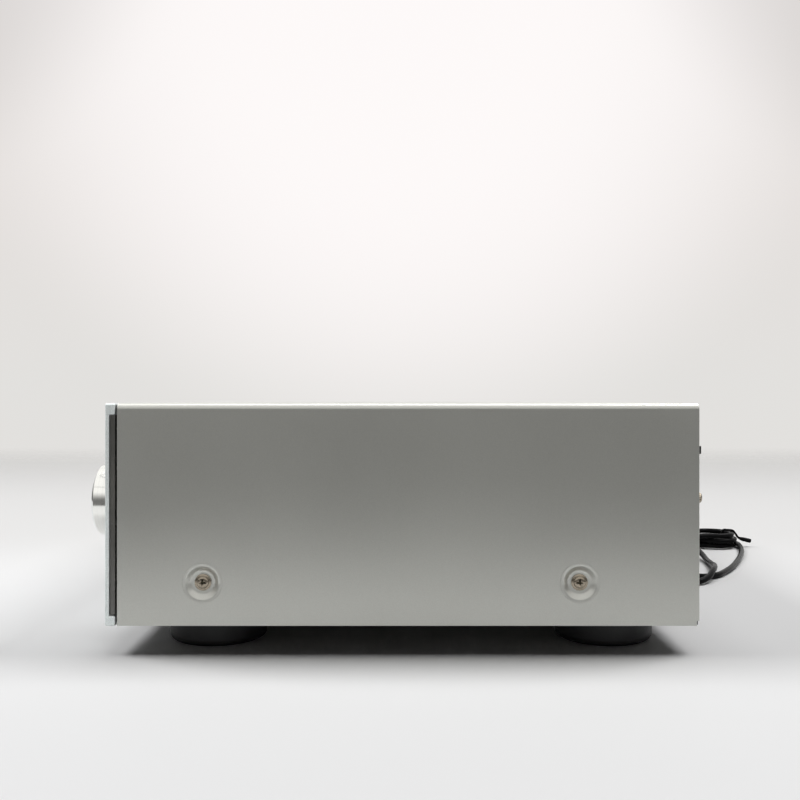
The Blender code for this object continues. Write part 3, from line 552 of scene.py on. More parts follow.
def object_from(name, bm, materials=()):
    """Make an object in metres from a bmesh in millimetres."""
    bmesh.ops.scale(bm, vec=(MM, MM, MM), verts=bm.verts)
    return object_in_metres(name, bm, materials)


def apply_modifiers(piece):
    """Keep the mesh that the modifiers make, and drop the modifiers."""
    graph = bpy.context.evaluated_depsgraph_get()
    mesh = bpy.data.meshes.new_from_object(
        piece.evaluated_get(graph), preserve_all_data_layers=True, depsgraph=graph)
    piece.modifiers.clear()
    piece.data = mesh


def carve(piece, bm):
    """Cut another shape away, and keep the result."""
    tool = object_from(piece.name + "_tool", bm)
    tool.matrix_world = piece.matrix_world
    step = piece.modifiers.new("carve", "BOOLEAN")
    step.operation = "DIFFERENCE"
    step.solver = "EXACT"
    step.object = tool
    apply_modifiers(piece)
    bpy.data.objects.remove(tool)


def round_edges(piece, width, segments=2, angle=35, by_weight=False, flats=False):
    """Round the edges sharper than an angle, or with by_weight=True those that have a bevel weight. With
    flats=True the faces along the axes are shaded flat, and otherwise every face keeps its own normals."""
    edge = piece.modifiers.new("edges", "BEVEL")
    edge.width = width * MM
    edge.segments = segments
    edge.limit_method = "WEIGHT" if by_weight else "ANGLE"
    edge.angle_limit = math.radians(angle)
    edge.harden_normals = not flats
    edge.use_clamp_overlap = not by_weight
    piece.data.shade_smooth()
    apply_modifiers(piece)
    if flats:
        for face in piece.data.polygons:
            if max(abs(part) for part in face.normal) > 0.9999:
                face.use_smooth = False


def settle(piece, materials=(), stands_for=None, smooth=30, body="chassis"):
    """Give a finished piece its body, the node it stands for and any materials named here."""
    if materials:
        piece.data.materials.clear()
        for material in materials:
            piece.data.materials.append(LOOKS[material])
    if smooth:
        piece.data.shade_smooth()
        piece.data.set_sharp_from_angle(angle=math.radians(smooth))
    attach(piece, BODY_OF[stands_for] if stands_for else body)
    if stands_for:
        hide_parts(stands_for)
    return piece


def stand(piece, place, facing):
    """Put a piece's origin at a place in millimetres, and turn its +Z to the way it faces."""
    piece.matrix_world = Matrix.Translation(Vector(place) * MM) @ FACING[facing]


def turned_node(node, name, build, materials, facing, base):
    """A piece about the axis of a round node, facing as stated, with its origin at base along that axis."""
    middle = middle_mm(node)
    axis = {"front": 1, "rear": 1, "right": 0, "left": 0, "up": 2}[facing]
    middle[axis] = base
    bm = bmesh.new()
    build(bm)
    piece = object_from(name, bm, materials)
    stand(piece, middle, facing)
    bpy.context.view_layer.update()
    return piece


def whole_mesh(node):
    """A bmesh of a CAD node, in metres, with its flats made whole."""
    bm = bmesh.new()
    bm.from_mesh(frame["nodes"][node].data)
    bmesh.ops.remove_doubles(bm, verts=bm.verts, dist=1e-6)
    bmesh.ops.dissolve_limit(bm, angle_limit=math.radians(1.0), verts=bm.verts, edges=bm.edges)
    return bm


def refined(node, bevel, material=None, segments=2):
    """A copy of a CAD node with its flats made whole and its edges rounded."""
    piece = object_in_metres(node + "_finished", whole_mesh(node))
    round_edges(piece, bevel, segments, flats=True)
    return settle(piece, [material or SLOT_OF[node]], node, smooth=None)


# ---------------------------------------------------------------- power cord

# The cord's centre line, its tied hank and its ties, in millimetres
CORD_DIAMETER = 5.0
CORD_FLOOR = 2.7
TIE_THICKNESS = 1.6
TIE_WIDTH = 7.0
TIP_TIE_RADIUS = 1.9
BLADE_OFFSET = 6.35
HANK_X = -194.5
HANK_Y = 292.3
HANK_RUN = 39.5
HANK_OUTER = 21.0
HANK_INNER = 15.7
HANK_LAYER = 5.2
HANK_LOWEST = 3.4
HANK_TIE = 4.0
HANK_STEP = 3.0
HANK_WAIST = {HANK_OUTER: 8.2, HANK_INNER: 2.8}
HANK_TURNS = 4.615
LEAD_ROUTE = [
    (-186, 209.6, 60), (-186, 216.3, 60), (-186, 224.3, 59.2), (-184, 234.3, 55.5), (-178, 242.3, 47),
    (-168.5, 246.8, 33), (-156, 248.3, 18), (-141, 247.3, 7), (-124, 244.3, 3), (-104, 240.3, CORD_FLOOR),
    (-82, 236.8, CORD_FLOOR), (-60, 234.3, CORD_FLOOR), (-42, 235.3, CORD_FLOOR), (-27, 240.8, CORD_FLOOR),
    (-17, 251.3, CORD_FLOOR), (-15.5, 263.3, CORD_FLOOR), (-22, 274.3, CORD_FLOOR), (-35, 284.3, CORD_FLOOR),
    (-55, 297.3, CORD_FLOOR), (-80, 310.8, CORD_FLOOR), (-110, 325.3, CORD_FLOOR), (-140, 338.3, 2.9),
    (-165, 346.8, 3.2), (-182, 351.3, 3.4),
]
TAIL_ROUTE = [
    (-170.5, 262.3, 13.6), (-167, 274.3, 13), (-157, 284.8, 11.8), (-140, 289.8, 9.4), (-117, 290.8, 6),
    (-92, 288.3, 3.4), (-68, 284.3, 4.4), (-46, 279.3, 6.9), (-28, 273.8, 8.5), (-12, 266.8, 8.3),
    (1.5, 258.3, 4.9), (9, 247.3, 2.9), (9, 235.3, CORD_FLOOR), (1, 225.8, CORD_FLOOR), (-10, 221, 2.9),
    (-22, 218.6, 3.8), (-34, 216.8, 5.6), (-43, 215.7, 6.8), (-50, 215.3, 7),
]


def ease(start, end, value):
    share = min(1.0, max(0.0, (value - start) / (end - start)))
    return share * share * (3 - 2 * share)


def hank_half_width(column, y):
    """Half width of a column of strands: its own at the folds, and pulled in at the tie."""
    share = (column - HANK_INNER) / (HANK_OUTER - HANK_INNER)
    waist = HANK_WAIST[HANK_INNER] + share * (HANK_WAIST[HANK_OUTER] - HANK_WAIST[HANK_INNER])
    out = min(1.0, max(0.0, (abs(y) - HANK_TIE) / (HANK_RUN - HANK_TIE)))
    return waist + (column - waist) * (0.5 - 0.5 * math.cos(math.pi * out))


def hank_point(turns):
    """A point of the cord's turns in the hank. Each turn ends one column or one layer from the last."""
    places = [(HANK_OUTER, 0), (HANK_INNER, 0), (HANK_INNER, 1), (HANK_OUTER, 1), (HANK_OUTER, 2)]
    column, layer = places[0]
    for number, (old, new) in enumerate(zip(places, places[1:])):
        share = ease(number + 0.80 - 0.02 * number, number + 0.98 - 0.02 * number, turns)
        column += share * (new[0] - old[0])
        layer += share * (new[1] - old[1])
    part = turns % 1.0
    fold, run = 0.16, 0.34
    far = HANK_RUN - layer * HANK_STEP
    near = -HANK_RUN
    if part < fold / 2 or part >= 1 - fold / 2:
        angle = math.pi / 2 + (part if part < 0.5 else part - 1) / fold * math.pi
        x = column * math.cos(angle)
        y = far + column * math.sin(angle)
    elif part < fold / 2 + run:
        y = far + (part - fold / 2) / run * (near - far)
        x = -hank_half_width(column, y)
    elif part < 1.5 * fold + run:
        angle = math.pi + (part - fold / 2 - run) / fold * math.pi
        x = column * math.cos(angle)
        y = near + column * math.sin(angle)
    else:
        y = near + (part - 1.5 * fold - run) / run * (far - near)
        x = hank_half_width(column, y)
    return (HANK_X + x, HANK_Y + y, HANK_LOWEST + layer * HANK_LAYER)


def mix(first, second, start, end, at):
    return first + (second - first) * ((at - start) / (end - start))


def smooth_curve(points, steps):
    """Points along a centripetal Catmull-Rom curve through the route's own points."""
    route = [Vector(point) for point in points]
    route = [2 * route[0] - route[1]] + route + [2 * route[-1] - route[-2]]
    curve = []
    for a, b, c, d in zip(route, route[1:], route[2:], route[3:]):
        knots = [0.0]
        for first, second in ((a, b), (b, c), (c, d)):
            knots.append(knots[-1] + math.sqrt((second - first).length))
        for step in range(steps):
            at = knots[1] + (knots[2] - knots[1]) * step / steps
            line = [mix(a, b, knots[0], knots[1], at), mix(b, c, knots[1], knots[2], at),
                    mix(c, d, knots[2], knots[3], at)]
            bend = [mix(line[0], line[1], knots[0], knots[2], at),
                    mix(line[1], line[2], knots[1], knots[3], at)]
            curve.append(mix(bend[0], bend[1], knots[1], knots[2], at))
    curve.append(route[-2])
    return curve


def add_strand(name, points, radius, resolution, shares=None, stands_for=()):
    """A round strand through the points. shares multiplies its radius at each of them."""
    data = bpy.data.curves.new(name, "CURVE")
    data.dimensions = "3D"
    data.bevel_depth = radius * MM
    data.bevel_resolution = resolution
    data.use_fill_caps = True
    spline = data.splines.new("POLY")
    spline.points.add(len(points) - 1)
    for slot, point in zip(spline.points, points):
        slot.co = (*(point * MM), 1.0)
    for slot, share in zip(spline.points, shares or ()):
        slot.radius = share
    spline.use_smooth = True
    data.materials.append(LOOKS["cord_rubber"])
    strand = bpy.data.objects.new(name, data)
    bpy.context.scene.collection.objects.link(strand)
    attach(strand, "chassis")
    if stands_for:
        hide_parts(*stands_for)
    return strand


def add_cord():
    turn_points = 25
    hank = [hank_point(step / turn_points) for step in range(int(HANK_TURNS * turn_points) + 1)]
    route = smooth_curve(LEAD_ROUTE + hank + TAIL_ROUTE, 4)
    nodes = ("power_cord", "power_cord_hank", "power_cord_end")
    cord = add_strand("mains_cord", route, CORD_DIAMETER / 2, 5, stands_for=nodes)
    relief = add_strain_relief()
    plug, blades = add_plug()
    ties = [add_tie("waist_tie", HANK_Y, 10.9, 17.0), add_tip_tie()]


def add_strain_relief():
    """The grommet in the rear panel and its tail of ribs that get smaller."""
    low, high = box_mm("cord_strain_relief")
    end = high.y - REAR_Y

    def build(bm):
        profile = [
            (7.4, low.y - REAR_Y), (7.4, -1.6), (5.2, -1.6), (5.2, 0.3), (8.2, 0.3), (8.5, 0.6), (8.5, 2.2),
            (8.1, 2.6), (6.4, 2.9),
        ]
        ribs = 6
        start = 4.2
        step = (end - 4.0 - start) / ribs
        for rib in range(ribs):
            height = start + rib * step
            radius = 5.9 - 1.9 * rib / ribs
            profile += [
                (radius, height), (radius, height + 0.52 * step),
                (radius - 0.25, height + 0.58 * step), (radius - 0.9, height + 0.62 * step),
                (radius - 0.9, height + 0.90 * step),
            ]
        profile += [(3.7, end - 3.2), (3.5, end - 0.5), (3.2, end)]
        add_turned(bm, profile, 48)

    piece = turned_node("cord_strain_relief", "strain_relief", build, ["cord_rubber"], "rear", REAR_Y)
    return settle(piece, stands_for="cord_strain_relief")


def add_plug():
    """The plug's grip and, as a second piece, its two blades. Both start at the grip's cord end."""
    low, high = box_mm("power_plug")
    middle = middle_mm("power_plug")
    place = (high.x, middle.y, middle.z)
    bm = bmesh.new()
    sections = [
        (5.6, 5.6, 2.7, 0.0), (6.4, 6.4, 3.1, 0.6), (7.0, 7.0, 3.4, 12.0), (7.6, 8.4, 3.7, 13.4),
        (10.6, 16.0, 4.6, 15.2), (12.6, 21.5, 5.4, 17.6), (13.4, 24.2, 5.6, 21.0), (13.6, 25.0, 5.6, 25.0),
        (12.7, 24.4, 5.2, 28.0), (12.7, 24.4, 5.2, 32.0), (13.6, 25.0, 5.6, 35.0), (13.6, 25.0, 5.6, 38.4),
        (13.0, 24.4, 5.4, 39.6), (12.0, 23.4, 5.0, 40.0),
    ]
    add_loft(bm, [rounded_rectangle(*section) for section in sections])
    plug = object_from("plug_grip", bm)
    stand(plug, place, "left")
    settle(plug, ["black_plastic"], "power_plug")

    reach = high.x - low.x
    outline = [
        (-3.1, 39.5), (3.1, 39.5), (3.1, reach - 2.2), (1.6, reach), (-1.6, reach), (-3.1, reach - 2.2),
    ]
    bm = bmesh.new()
    for side in (-1, 1):
        y = side * BLADE_OFFSET
        add_loft(bm, [[(x, y + offset, z) for x, z in outline] for offset in (-0.75, 0.75)])
    blades = object_from("plug_blades", bm)
    holes = bmesh.new()
    for span in ((-13.0, -5.0), (5.0, 13.0)):
        add_loft(holes, [[(a, y, reach - 4.5 + b) for a, b, _ in circle(1.5, 0.0, 24)] for y in span])
    carve(blades, holes)
    round_edges(blades, 0.2)
    stand(blades, place, "left")
    settle(blades, ["contact"], smooth=None)
    return plug, blades


def add_tie(name, y, half, top):
    """A flat strap round the hank's waist."""
    bm = bmesh.new()
    width = TIE_WIDTH
    outer = rounded_rectangle(2 * half + TIE_THICKNESS, top, 4.0, 0.0, (0, top / 2), 8)
    inner = rounded_rectangle(2 * half, top - TIE_THICKNESS, 3.2, 0.0, (0, top / 2), 8)
    rows = [
        [(x, -width / 2, z) for x, z, _ in outer], [(x, width / 2, z) for x, z, _ in outer],
        [(x, width / 2, z) for x, z, _ in inner], [(x, -width / 2, z) for x, z, _ in inner],
    ]
    add_loft(bm, rows, ring=True)
    tie = object_from(name, bm)
    round_edges(tie, 0.2)
    tie.matrix_world = Matrix.Translation(Vector((HANK_X, y, 0.05)) * MM)
    return settle(tie, ["cord_rubber"], smooth=None)


def add_tip_tie():
    """A rubber tie round the strands at the hank's outer fold, with its free end pointing away."""
    thick = TIP_TIE_RADIUS
    inside = HANK_Y + HANK_RUN + HANK_INNER - 2 * HANK_STEP - CORD_DIAMETER / 2 - thick
    outside = HANK_Y + HANK_RUN + HANK_OUTER + CORD_DIAMETER / 2 + thick
    top = HANK_LOWEST + 2 * HANK_LAYER + CORD_DIAMETER / 2 + thick
    route = [
        (0, outside - 1.0, 4.2), (0, outside - 3.4, 0.2 + thick), (0, inside + 3.0, 0.2 + thick),
        (0, inside, 4.2), (0.2, inside, 12.0), (0.5, inside + 2.0, top - 0.8), (1.0, inside + 6.0, top - 0.6),
        (1.2, outside - 8.6, top - 1.4), (1.4, outside - 5.8, top - 4.6), (1.6, outside - 3.2, top - 8.2),
        (1.9, outside + 0.2, 8.4), (2.2, outside + 4.5, 7.4), (2.0, outside + 9.5, 6.2),
    ]
    points = smooth_curve([(HANK_X + x, y, z) for x, y, z in route], 6)
    swell_start, swell_end = 0.75, 0.85
    along = [min(swell_end, max(swell_start, number / len(points))) for number in range(len(points))]
    shares = [mix(0.6, 1.15, swell_start, swell_end, at) for at in along]
    return add_strand("tip_tie", points, thick, 4, shares)


# ---------------------------------------------------------------- casing

SHEET = 1.0
COVER_BEND = 4.0
DISH_RIM = 12.0
DISH_DEPTH = 2.5
DISH_SIDES = 96
VENT_LENGTH = 52.0
VENT_WIDTH = 3.4
VENT_ROWS = (-58.0, 8.0)
VENT_COUNT = 14
VENT_PITCH = 10.0
SCREW_HEIGHT = 2.0
SCREW_SHANK = 6.0
FOOT_FLAT = 26.0
FOOT_RISE = 4.6


def arc(centre, radius, start, end, steps):
    """Points of an arc, angles in degrees."""
    points = []
    for i in range(steps + 1):
        angle = math.radians(start + (end - start) * i / steps)
        points.append((centre[0] + radius * math.cos(angle), centre[1] + radius * math.sin(angle)))
    return points


def dish_profile():
    """Outer face of the pressed dish, as (radius, depth), from its rim to its screw hole."""
    return [
        (DISH_RIM, 0.0), (10.7, 0.02), (10.3, 0.10), (9.95, 0.29), (9.6, 0.55), (9.2, 0.86), (8.8, 1.18),
        (8.4, 1.50), (8.0, 1.82), (7.6, 2.10), (7.2, 2.32), (6.8, 2.45), (6.3, DISH_DEPTH), (2.2, DISH_DEPTH),
    ]


def dish_ring(side, x, y, z, radius):
    """A circle about a side screw's axis, in the plane that stands across it."""
    return [(side * x, y + a, z + b) for a, b, _ in circle(radius, 0.0, DISH_SIDES)]


def add_cover():
    """The folded cover with its vents, and its four pressed dishes as a second piece."""
    low, high = box_mm("top_cover")
    half, top, bottom = high.x, high.z, low.z
    bend = COVER_BEND
    steps = 12
    corner = half - bend
    outline = [(half, bottom)] + arc((corner, top - bend), bend, 0, 90, steps)
    outline += arc((-corner, top - bend), bend, 90, 180, steps) + [(-half, bottom), (-half + SHEET, bottom)]
    outline += arc((-corner, top - bend), bend - SHEET, 180, 90, steps)
    outline += arc((corner, top - bend), bend - SHEET, 90, 0, steps) + [(half - SHEET, bottom)]
    bm = bmesh.new()
    add_loft(bm, [[(x, y, z) for x, z in outline] for y in (low.y, high.y)])
    cover = object_from("cover_shell", bm)

    cuts = bmesh.new()
    radius = VENT_WIDTH / 2
    for row in VENT_ROWS:
        for step in range(VENT_COUNT):
            x = VENT_PITCH * (step - (VENT_COUNT - 1) / 2)
            slot = arc((x, row + VENT_LENGTH - radius), radius, 0, 180, 8)
            slot += arc((x, row + radius), radius, 180, 360, 8)
            add_loft(cuts, [[(a, b, z) for a, b in slot] for z in (top - 3, top + 2)])
    for side in (-1, 1):
        edge = side * half
        add_box(cuts, (min(edge, edge - side * 2) - 1, high.y - 1.5, bottom - 1),
                (max(edge, edge - side * 2) + 1, high.y + 1, bottom + 3))
    screws = ("front_right", "rear_right", "front_left", "rear_left")
    middles = [middle_mm("side_screw_" + screw) for screw in screws]
    spots = [(1 if middle.x > 0 else -1, middle.y, middle.z) for middle in middles]
    for side, y, z in spots:
        add_loft(cuts, [dish_ring(side, x, y, z, DISH_RIM) for x in (half - 4, half + 2)])
    carve(cover, cuts)
    round_edges(cover, 0.22, 2, 40)

    dishes = bmesh.new()
    outer = dish_profile()
    profile = outer + [(radius, depth + SHEET) for radius, depth in reversed(outer)]
    for side, y, z in spots:
        rows = [dish_ring(side, half - depth, y, z, radius) for radius, depth in profile]
        add_loft(dishes, rows, ring=True)
    dish_piece = object_from("cover_dishes", dishes)
    settle(cover, ["cover_paint"], "top_cover", smooth=None)
    settle(dish_piece, ["cover_paint"], smooth=40)


def recess_arm(bm, turn, height, reach, width, depth):
    """One tapered arm of the cross cut into a screw's head."""
    rows = []
    for z, scale in ((height - depth, 0.35), (height + 0.3, 1.08)):
        a, b = reach * scale, width * (0.7 + 0.35 * scale)
        corners = [(-a, -b), (a, -b), (a, b), (-a, b)]
        rows.append([(x, y, z) if turn == 0 else (-y, x, z) for x, y in corners])
    add_loft(bm, rows)


def add_screw(node, facing, base, scale=1.0, washer=True):
    """A cross-recess screw with a washer flange; base is where its flange sits."""
    def build(bm):
        profile = [(1.6 * scale, -SCREW_SHANK), (1.6 * scale, 0.0)]
        if washer:
            profile += [(4.85, 0.0), (5.0, 0.12), (5.0, 0.42), (4.85, 0.55), (3.9, 0.62), (3.62, 0.72)]
        else:
            profile += [(3.1, 0.0)]
        cap, foot = (3.6, 0.9) if washer else (3.2, 0.3)
        rise = SCREW_HEIGHT - foot
        steps = 8
        for step in range(steps + 1):
            angle = math.pi / 2 * step / steps
            radius = cap * (0.42 + 0.58 * math.cos(angle) ** 0.8) if step < steps else cap * 0.42
            profile.append((radius, foot + rise * math.sin(angle) ** 0.9 * 0.98))
        add_turned(bm, profile, 64)

    piece = turned_node(node, node + "_head", build, ["screw_metal", "screw_recess_painted_shade"], facing, base)
    for turn in (0, 1):
        tool = bmesh.new()
        recess_arm(tool, turn, SCREW_HEIGHT, 2.5, 0.62, 1.4)
        carve(piece, tool)
    # The steep walls inside the cross recess take the painted shade
    for face in piece.data.polygons:
        reach = math.hypot(face.center.x, face.center.y) / MM
        steep = face.normal.z < 0.7 or face.center.z < 1.0 * MM
        if reach < 2.45 and face.center.z > 0.3 * MM and steep:
            face.material_index = 1
    return settle(piece, stands_for=node, smooth=40)


def add_fasteners():
    for side in ("right", "left"):
        for end in ("front", "rear"):
            node = f"side_screw_{end}_{side}"
            low, high = box_mm(node)
            base = high.x - SCREW_HEIGHT if side == "right" else low.x + SCREW_HEIGHT
            add_screw(node, side, base)
        node = "rear_screw_" + side
        add_screw(node, "rear", box_mm(node)[1].y - 1.9, 0.9, washer=False)


def add_feet():
    for side in ("right", "left"):
        for end in ("front", "rear"):
            node = f"foot_{end}_{side}"
            low, high = box_mm(node)
            radius = (high.x - low.x) / 2
            tall = high.z

            def build(bm):
                profile = [
                    (8.6, 9.5), (9.0, 9.0), (9.0, 0.5), (9.5, 0.0), (17.0, 0.0), (17.3, 0.5), (18.2, 0.5),
                    (18.5, 0.0), (FOOT_FLAT, 0.0),
                ]
                steps = 8
                for step in range(1, steps + 1):
                    angle = math.pi / 2 * step / steps
                    out = FOOT_FLAT + (radius - FOOT_FLAT) * math.sin(angle)
                    profile.append((out, FOOT_RISE * (1 - math.cos(angle))))
                profile += [
                    (radius, tall - 3.0), (radius - 0.35, tall - 2.7), (radius - 0.35, tall - 2.0),
                    (radius, tall - 1.7), (radius, tall - 0.5), (radius - 0.5, tall),
                ]
                add_turned(bm, profile, 128)

            piece = turned_node(node, node + "_moulding", build, ["foot_plastic"], "up", low.z)
            settle(piece, stands_for=node, smooth=38)


def add_fascia():
    """The fascia with its outer ends rounded more than its openings, and its sawn ends left bright."""
    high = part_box("front_panel")[1]
    near = 0.05 * MM
    bm = whole_mesh("front_panel")
    weights = bm.edges.layers.float.new("bevel_weight_edge")
    for edge in bm.edges:
        ends = [vert.co for vert in edge.verts]
        outer_end = all(abs(point.x) > high.x - near for point in ends)
        along_top = all(point.z > high.z - near for point in ends)
        if edge.calc_face_angle(0.0) > math.radians(30):
            edge[weights] = 1.0 if along_top else 0.4 if outer_end else 0.22
    for face in bm.faces:
        if abs(face.normal.x) > 0.9 and abs(face.calc_center_median().x) > high.x - near:
            face.material_index = 1
    piece = object_in_metres("fascia", bm, ("fascia_metal", "fascia_end"))
    round_edges(piece, 1.4, 4, by_weight=True, flats=True)
    settle(piece, stands_for="front_panel", smooth=None)


def add_panels():
    refined("fascia_backing", 0.3)
    refined("front_subpanel", 0.15)
    refined("rear_panel", 0.15)
    # The bottom tray takes the darkened steel, painted shade for the space under the body
    refined("bottom_chassis", 0.3, "shaded_tray_steel")
    refined("display_window", 0.3, segments=3)


# ---------------------------------------------------------------- front controls

def large_knob_profile(radius, length, _foot):
    """A large knob's section, from its bore over its hollow back and side to its face."""
    chamfer = 1.3
    return [
        (3.3, 13.3), (3.3, 2.6), (7.0, 2.6), (7.0, 14.0), (20.5, 14.0), (20.5, 0.6), (radius - 0.4, 0.6),
        (radius - 0.1, 0.8), (radius, 1.1), (radius, length - chamfer - 0.15),
        (radius - 0.08, length - chamfer), (radius - chamfer, length - 0.08),
        (radius - chamfer - 0.15, length), (radius - 2.3, length),
        (radius - 2.5, length - 0.1), (radius - 2.8, length - 0.42), (radius - 3.0, length - 0.5),
        (12.0, length - 0.5), (4.0, length - 0.5), (0.4, length - 0.5),
    ]


def tone_knob_profile(radius, length, foot):
    """A tone knob's section, from the foot of its stem to its face."""
    return [
        (2.9, foot), (2.9, 0.6), (radius - 0.3, 0.6), (radius, 0.9), (radius, 3.0),
        (radius - 0.35, 3.2), (radius - 0.35, 3.8), (radius, 4.0), (radius, length - 1.3),
        (radius - 0.25, length - 1.0), (radius - 1.0, length - 0.1), (radius - 1.25, length),
        (radius - 2.0, length), (radius - 2.3, length - 0.25), (2.0, length - 0.25), (0.3, length - 0.25),
    ]


# A knob's section and sides, its polished rim (how far in it ends and starts, and how far back), its mark's
# groove (width, run, corner, distance from the axis, depth) and the depths between which the mark, a block
# of near-black painted shade, fills it
LARGE_KNOB = (large_knob_profile, 160, (2.3, 0.1, 1.5), (1.3, 6.5, 0.6, 15.5, 1.1), (1.3, 1.0))
TONE_KNOB = (tone_knob_profile, 96, (1.3, 0.05, 1.1), (1.0, 4.4, 0.45, 5.2, 0.8), (0.95, 0.7))


def add_knob(node, profile, sides, rim, groove, mark_depths):
    low, high = box_mm(node)
    length = FASCIA_Y - low.y
    radius = (high.x - low.x) / 2

    def build(bm):
        add_turned(bm, profile(radius, length, FASCIA_Y - high.y), sides)
        for face in bm.faces:
            middle = face.calc_center_median()
            reach = math.hypot(middle.x, middle.y)
            if radius - rim[0] < reach < radius - rim[1] and middle.z > length - rim[2]:
                face.material_index = 1

    piece = turned_node(node, node + "_turned", build, ["knob_metal", "polished"], "front", FASCIA_Y)
    width, run, corner, away, depth = groove
    tool = bmesh.new()
    heights = (length - depth, length + 2)
    add_loft(tool, [rounded_rectangle(width, run, corner, height, (0, away)) for height in heights])
    carve(piece, tool)
    settle(piece, stands_for=node, smooth=25)
    # The mark is a near-black block in the groove's bottom, painted shade for the groove
    mark = bmesh.new()
    size = (width - 0.1, run - 0.1, corner - 0.05)
    add_loft(mark, [rounded_rectangle(*size, length - inset, (0, away)) for inset in mark_depths])
    inlay = object_from(node + "_mark", mark)
    inlay.matrix_world = Matrix(piece.matrix_world)
    settle(inlay, ["painted_hollow_shade"], body=BODY_OF[node])


def add_buttons():
    for node in BODY_OF:
        if node.endswith("_button"):
            refined(node, 0.45, segments=3)


def add_headphone_jack():
    def build(bm):
        add_turned(bm, [
            (3.2, -26.0), (3.2, 1.0), (3.5, 1.45), (4.4, 1.6), (6.3, 1.6), (6.9, 1.35), (7.2, 0.9),
            (7.2, 0.3), (5.0, 0.3), (5.0, -9.0), (8.0, -9.0), (8.0, -29.0),
        ])
        for face in bm.faces:
            middle = face.calc_center_median()
            reach = math.hypot(middle.x, middle.y)
            if middle.z > 0.25 and reach > 4.2:
                face.material_index = 1

    # The socket's bore takes the near-black painted shade; only its front ring is polished metal
    materials = ["painted_hollow_shade", "polished"]
    piece = turned_node("headphone_jack", "headphone_socket", build, materials, "front", FASCIA_Y)
    settle(piece, stands_for="headphone_jack")


def add_indicator():
    """The small standby lamp above the power button."""
    low, high = box_mm("power_button")
    bm = bmesh.new()
    radius, start, dome = 1.5, 0.1, 0.7
    profile = [(radius, -1.6), (radius, start)]
    for step in range(1, 7):
        angle = math.pi / 2 * step / 6.5
        profile.append((radius * math.cos(angle), start + dome * math.sin(angle)))
    add_turned(bm, profile, 32)
    lamp = object_from("standby_lamp", bm)
    stand(lamp, ((low.x + high.x) / 2, FASCIA_Y, high.z + 6.0), "front")
    settle(lamp, ["indicator_lens"], smooth=50)


# ---------------------------------------------------------------- rear connectors

JACK_COLUMNS = (20.0, 42.0, 64.0, 86.0, 108.0)
LOWER_JACKS = 80.0
UPPER_JACKS = 98.0
POST_RIBS = 24
NUT_RIBS = 18
# Left, right, bottom and top of the ink outlines round the rear connectors
PRINTED_FRAMES = ((6.0, 122.0, 70.0, 109.0), (-122.0, -28.0, 52.0, 88.0))


def add_line_jacks():
    """The block behind the panel and its ten jacks: shell, coloured insert and inner contact."""
    low, high = box_mm("line_jack_block")
    inner_face = -1.5
    reach = high.y - REAR_Y
    shell = [
        (4.3, inner_face - 0.2), (4.3, 0.2), (5.6, 0.2), (5.6, 0.9), (5.3, 1.1), (4.15, 1.1),
        (4.15, reach - 0.4), (3.8, reach), (3.2, reach), (3.2, 1.6),
    ]
    insert = [
        (3.15, 1.4), (3.15, reach - 0.7), (3.0, reach - 0.5), (2.0, reach - 0.5), (1.75, reach - 0.8),
        (1.75, 2.0),
    ]
    contact = [(1.72, 1.6), (1.72, reach - 2.0), (1.5, reach - 1.9), (1.2, reach - 2.2), (1.2, 2.4)]
    bm = bmesh.new()
    add_box(bm, (low.x, -high.z, low.y - REAR_Y), (high.x, -low.z, inner_face), 0)
    for x in JACK_COLUMNS:
        for z, colour in ((LOWER_JACKS, 3), (UPPER_JACKS, 2)):
            spot = (x, -z)
            add_turned(bm, shell, 40, centre=spot, material=1)
            add_turned(bm, insert, 40, centre=spot, material=colour)
            add_turned(bm, contact, 24, centre=spot, material=1)
    piece = object_from("line_jacks", bm, ["black_plastic", "contact", "white_plastic", "red_plastic"])
    stand(piece, (0, REAR_Y, 0), "rear")
    settle(piece, stands_for="line_jack_block")


def add_speaker_terminals():
    """The base with its collars and studs, and the four ribbed caps that turn."""
    low = box_mm("speaker_terminal_base")[0]
    middle = middle_mm("speaker_terminal_base")
    bm = bmesh.new()
    for width, depth, back, front, radius in ((76, 17, low.y - REAR_Y, 0.4, 1.0), (88, 26, 0.3, 2.5, 2.5)):
        add_loft(bm, [
            rounded_rectangle(width - 0.6, depth - 0.6, radius, back),
            rounded_rectangle(width, depth, radius, back + 0.3),
            rounded_rectangle(width, depth, radius, front - 0.3),
            rounded_rectangle(width - 0.6, depth - 0.6, radius, front),
        ])
    caps = sorted(node for node in frame["nodes"] if node.startswith("speaker_post_"))
    collar = [(6.6, 2.3), (6.6, 3.4), (6.2, 3.9), (6.0, 4.6), (2.6, 4.6)]
    for node in caps:
        spot = (middle_mm(node).x - middle.x, 0)
        colour = 3 if node.endswith("positive") else 0
        add_turned(bm, collar, 48, centre=spot, material=colour)
        add_turned(bm, [(2.0, 2.0), (2.0, 12.0), (1.7, 12.6)], 32, centre=spot, material=1)
    base = object_from("speaker_terminals", bm, ["black_plastic", "contact", "white_plastic", "red_plastic"])
    stand(base, (middle.x, REAR_Y, middle.z), "rear")
    settle(base, stands_for="speaker_terminal_base")
    for node in caps:
        cap_low, cap_high = box_mm(node)
        length = cap_high.y - cap_low.y

        def build(bm):
            add_turned(bm, [
                (2.3, 8.3), (2.3, 0.0), (5.3, 0.0), (5.6, 0.25), (5.6, 0.9), (6.2, 1.3), (6.2, 1.6),
                (6.2, length - 2.0), (6.2, length - 1.5), (5.6, length - 0.4), (4.9, length), (4.4, length),
                (4.2, length - 0.5), (0.4, length - 0.5),
            ], 144, ribs=(POST_RIBS, 0.45, 1.5, length - 1.9))

        piece = turned_node(node, node + "_cap", build, [SLOT_OF[node]], "rear", cap_low.y)
        settle(piece, stands_for=node, smooth=40)


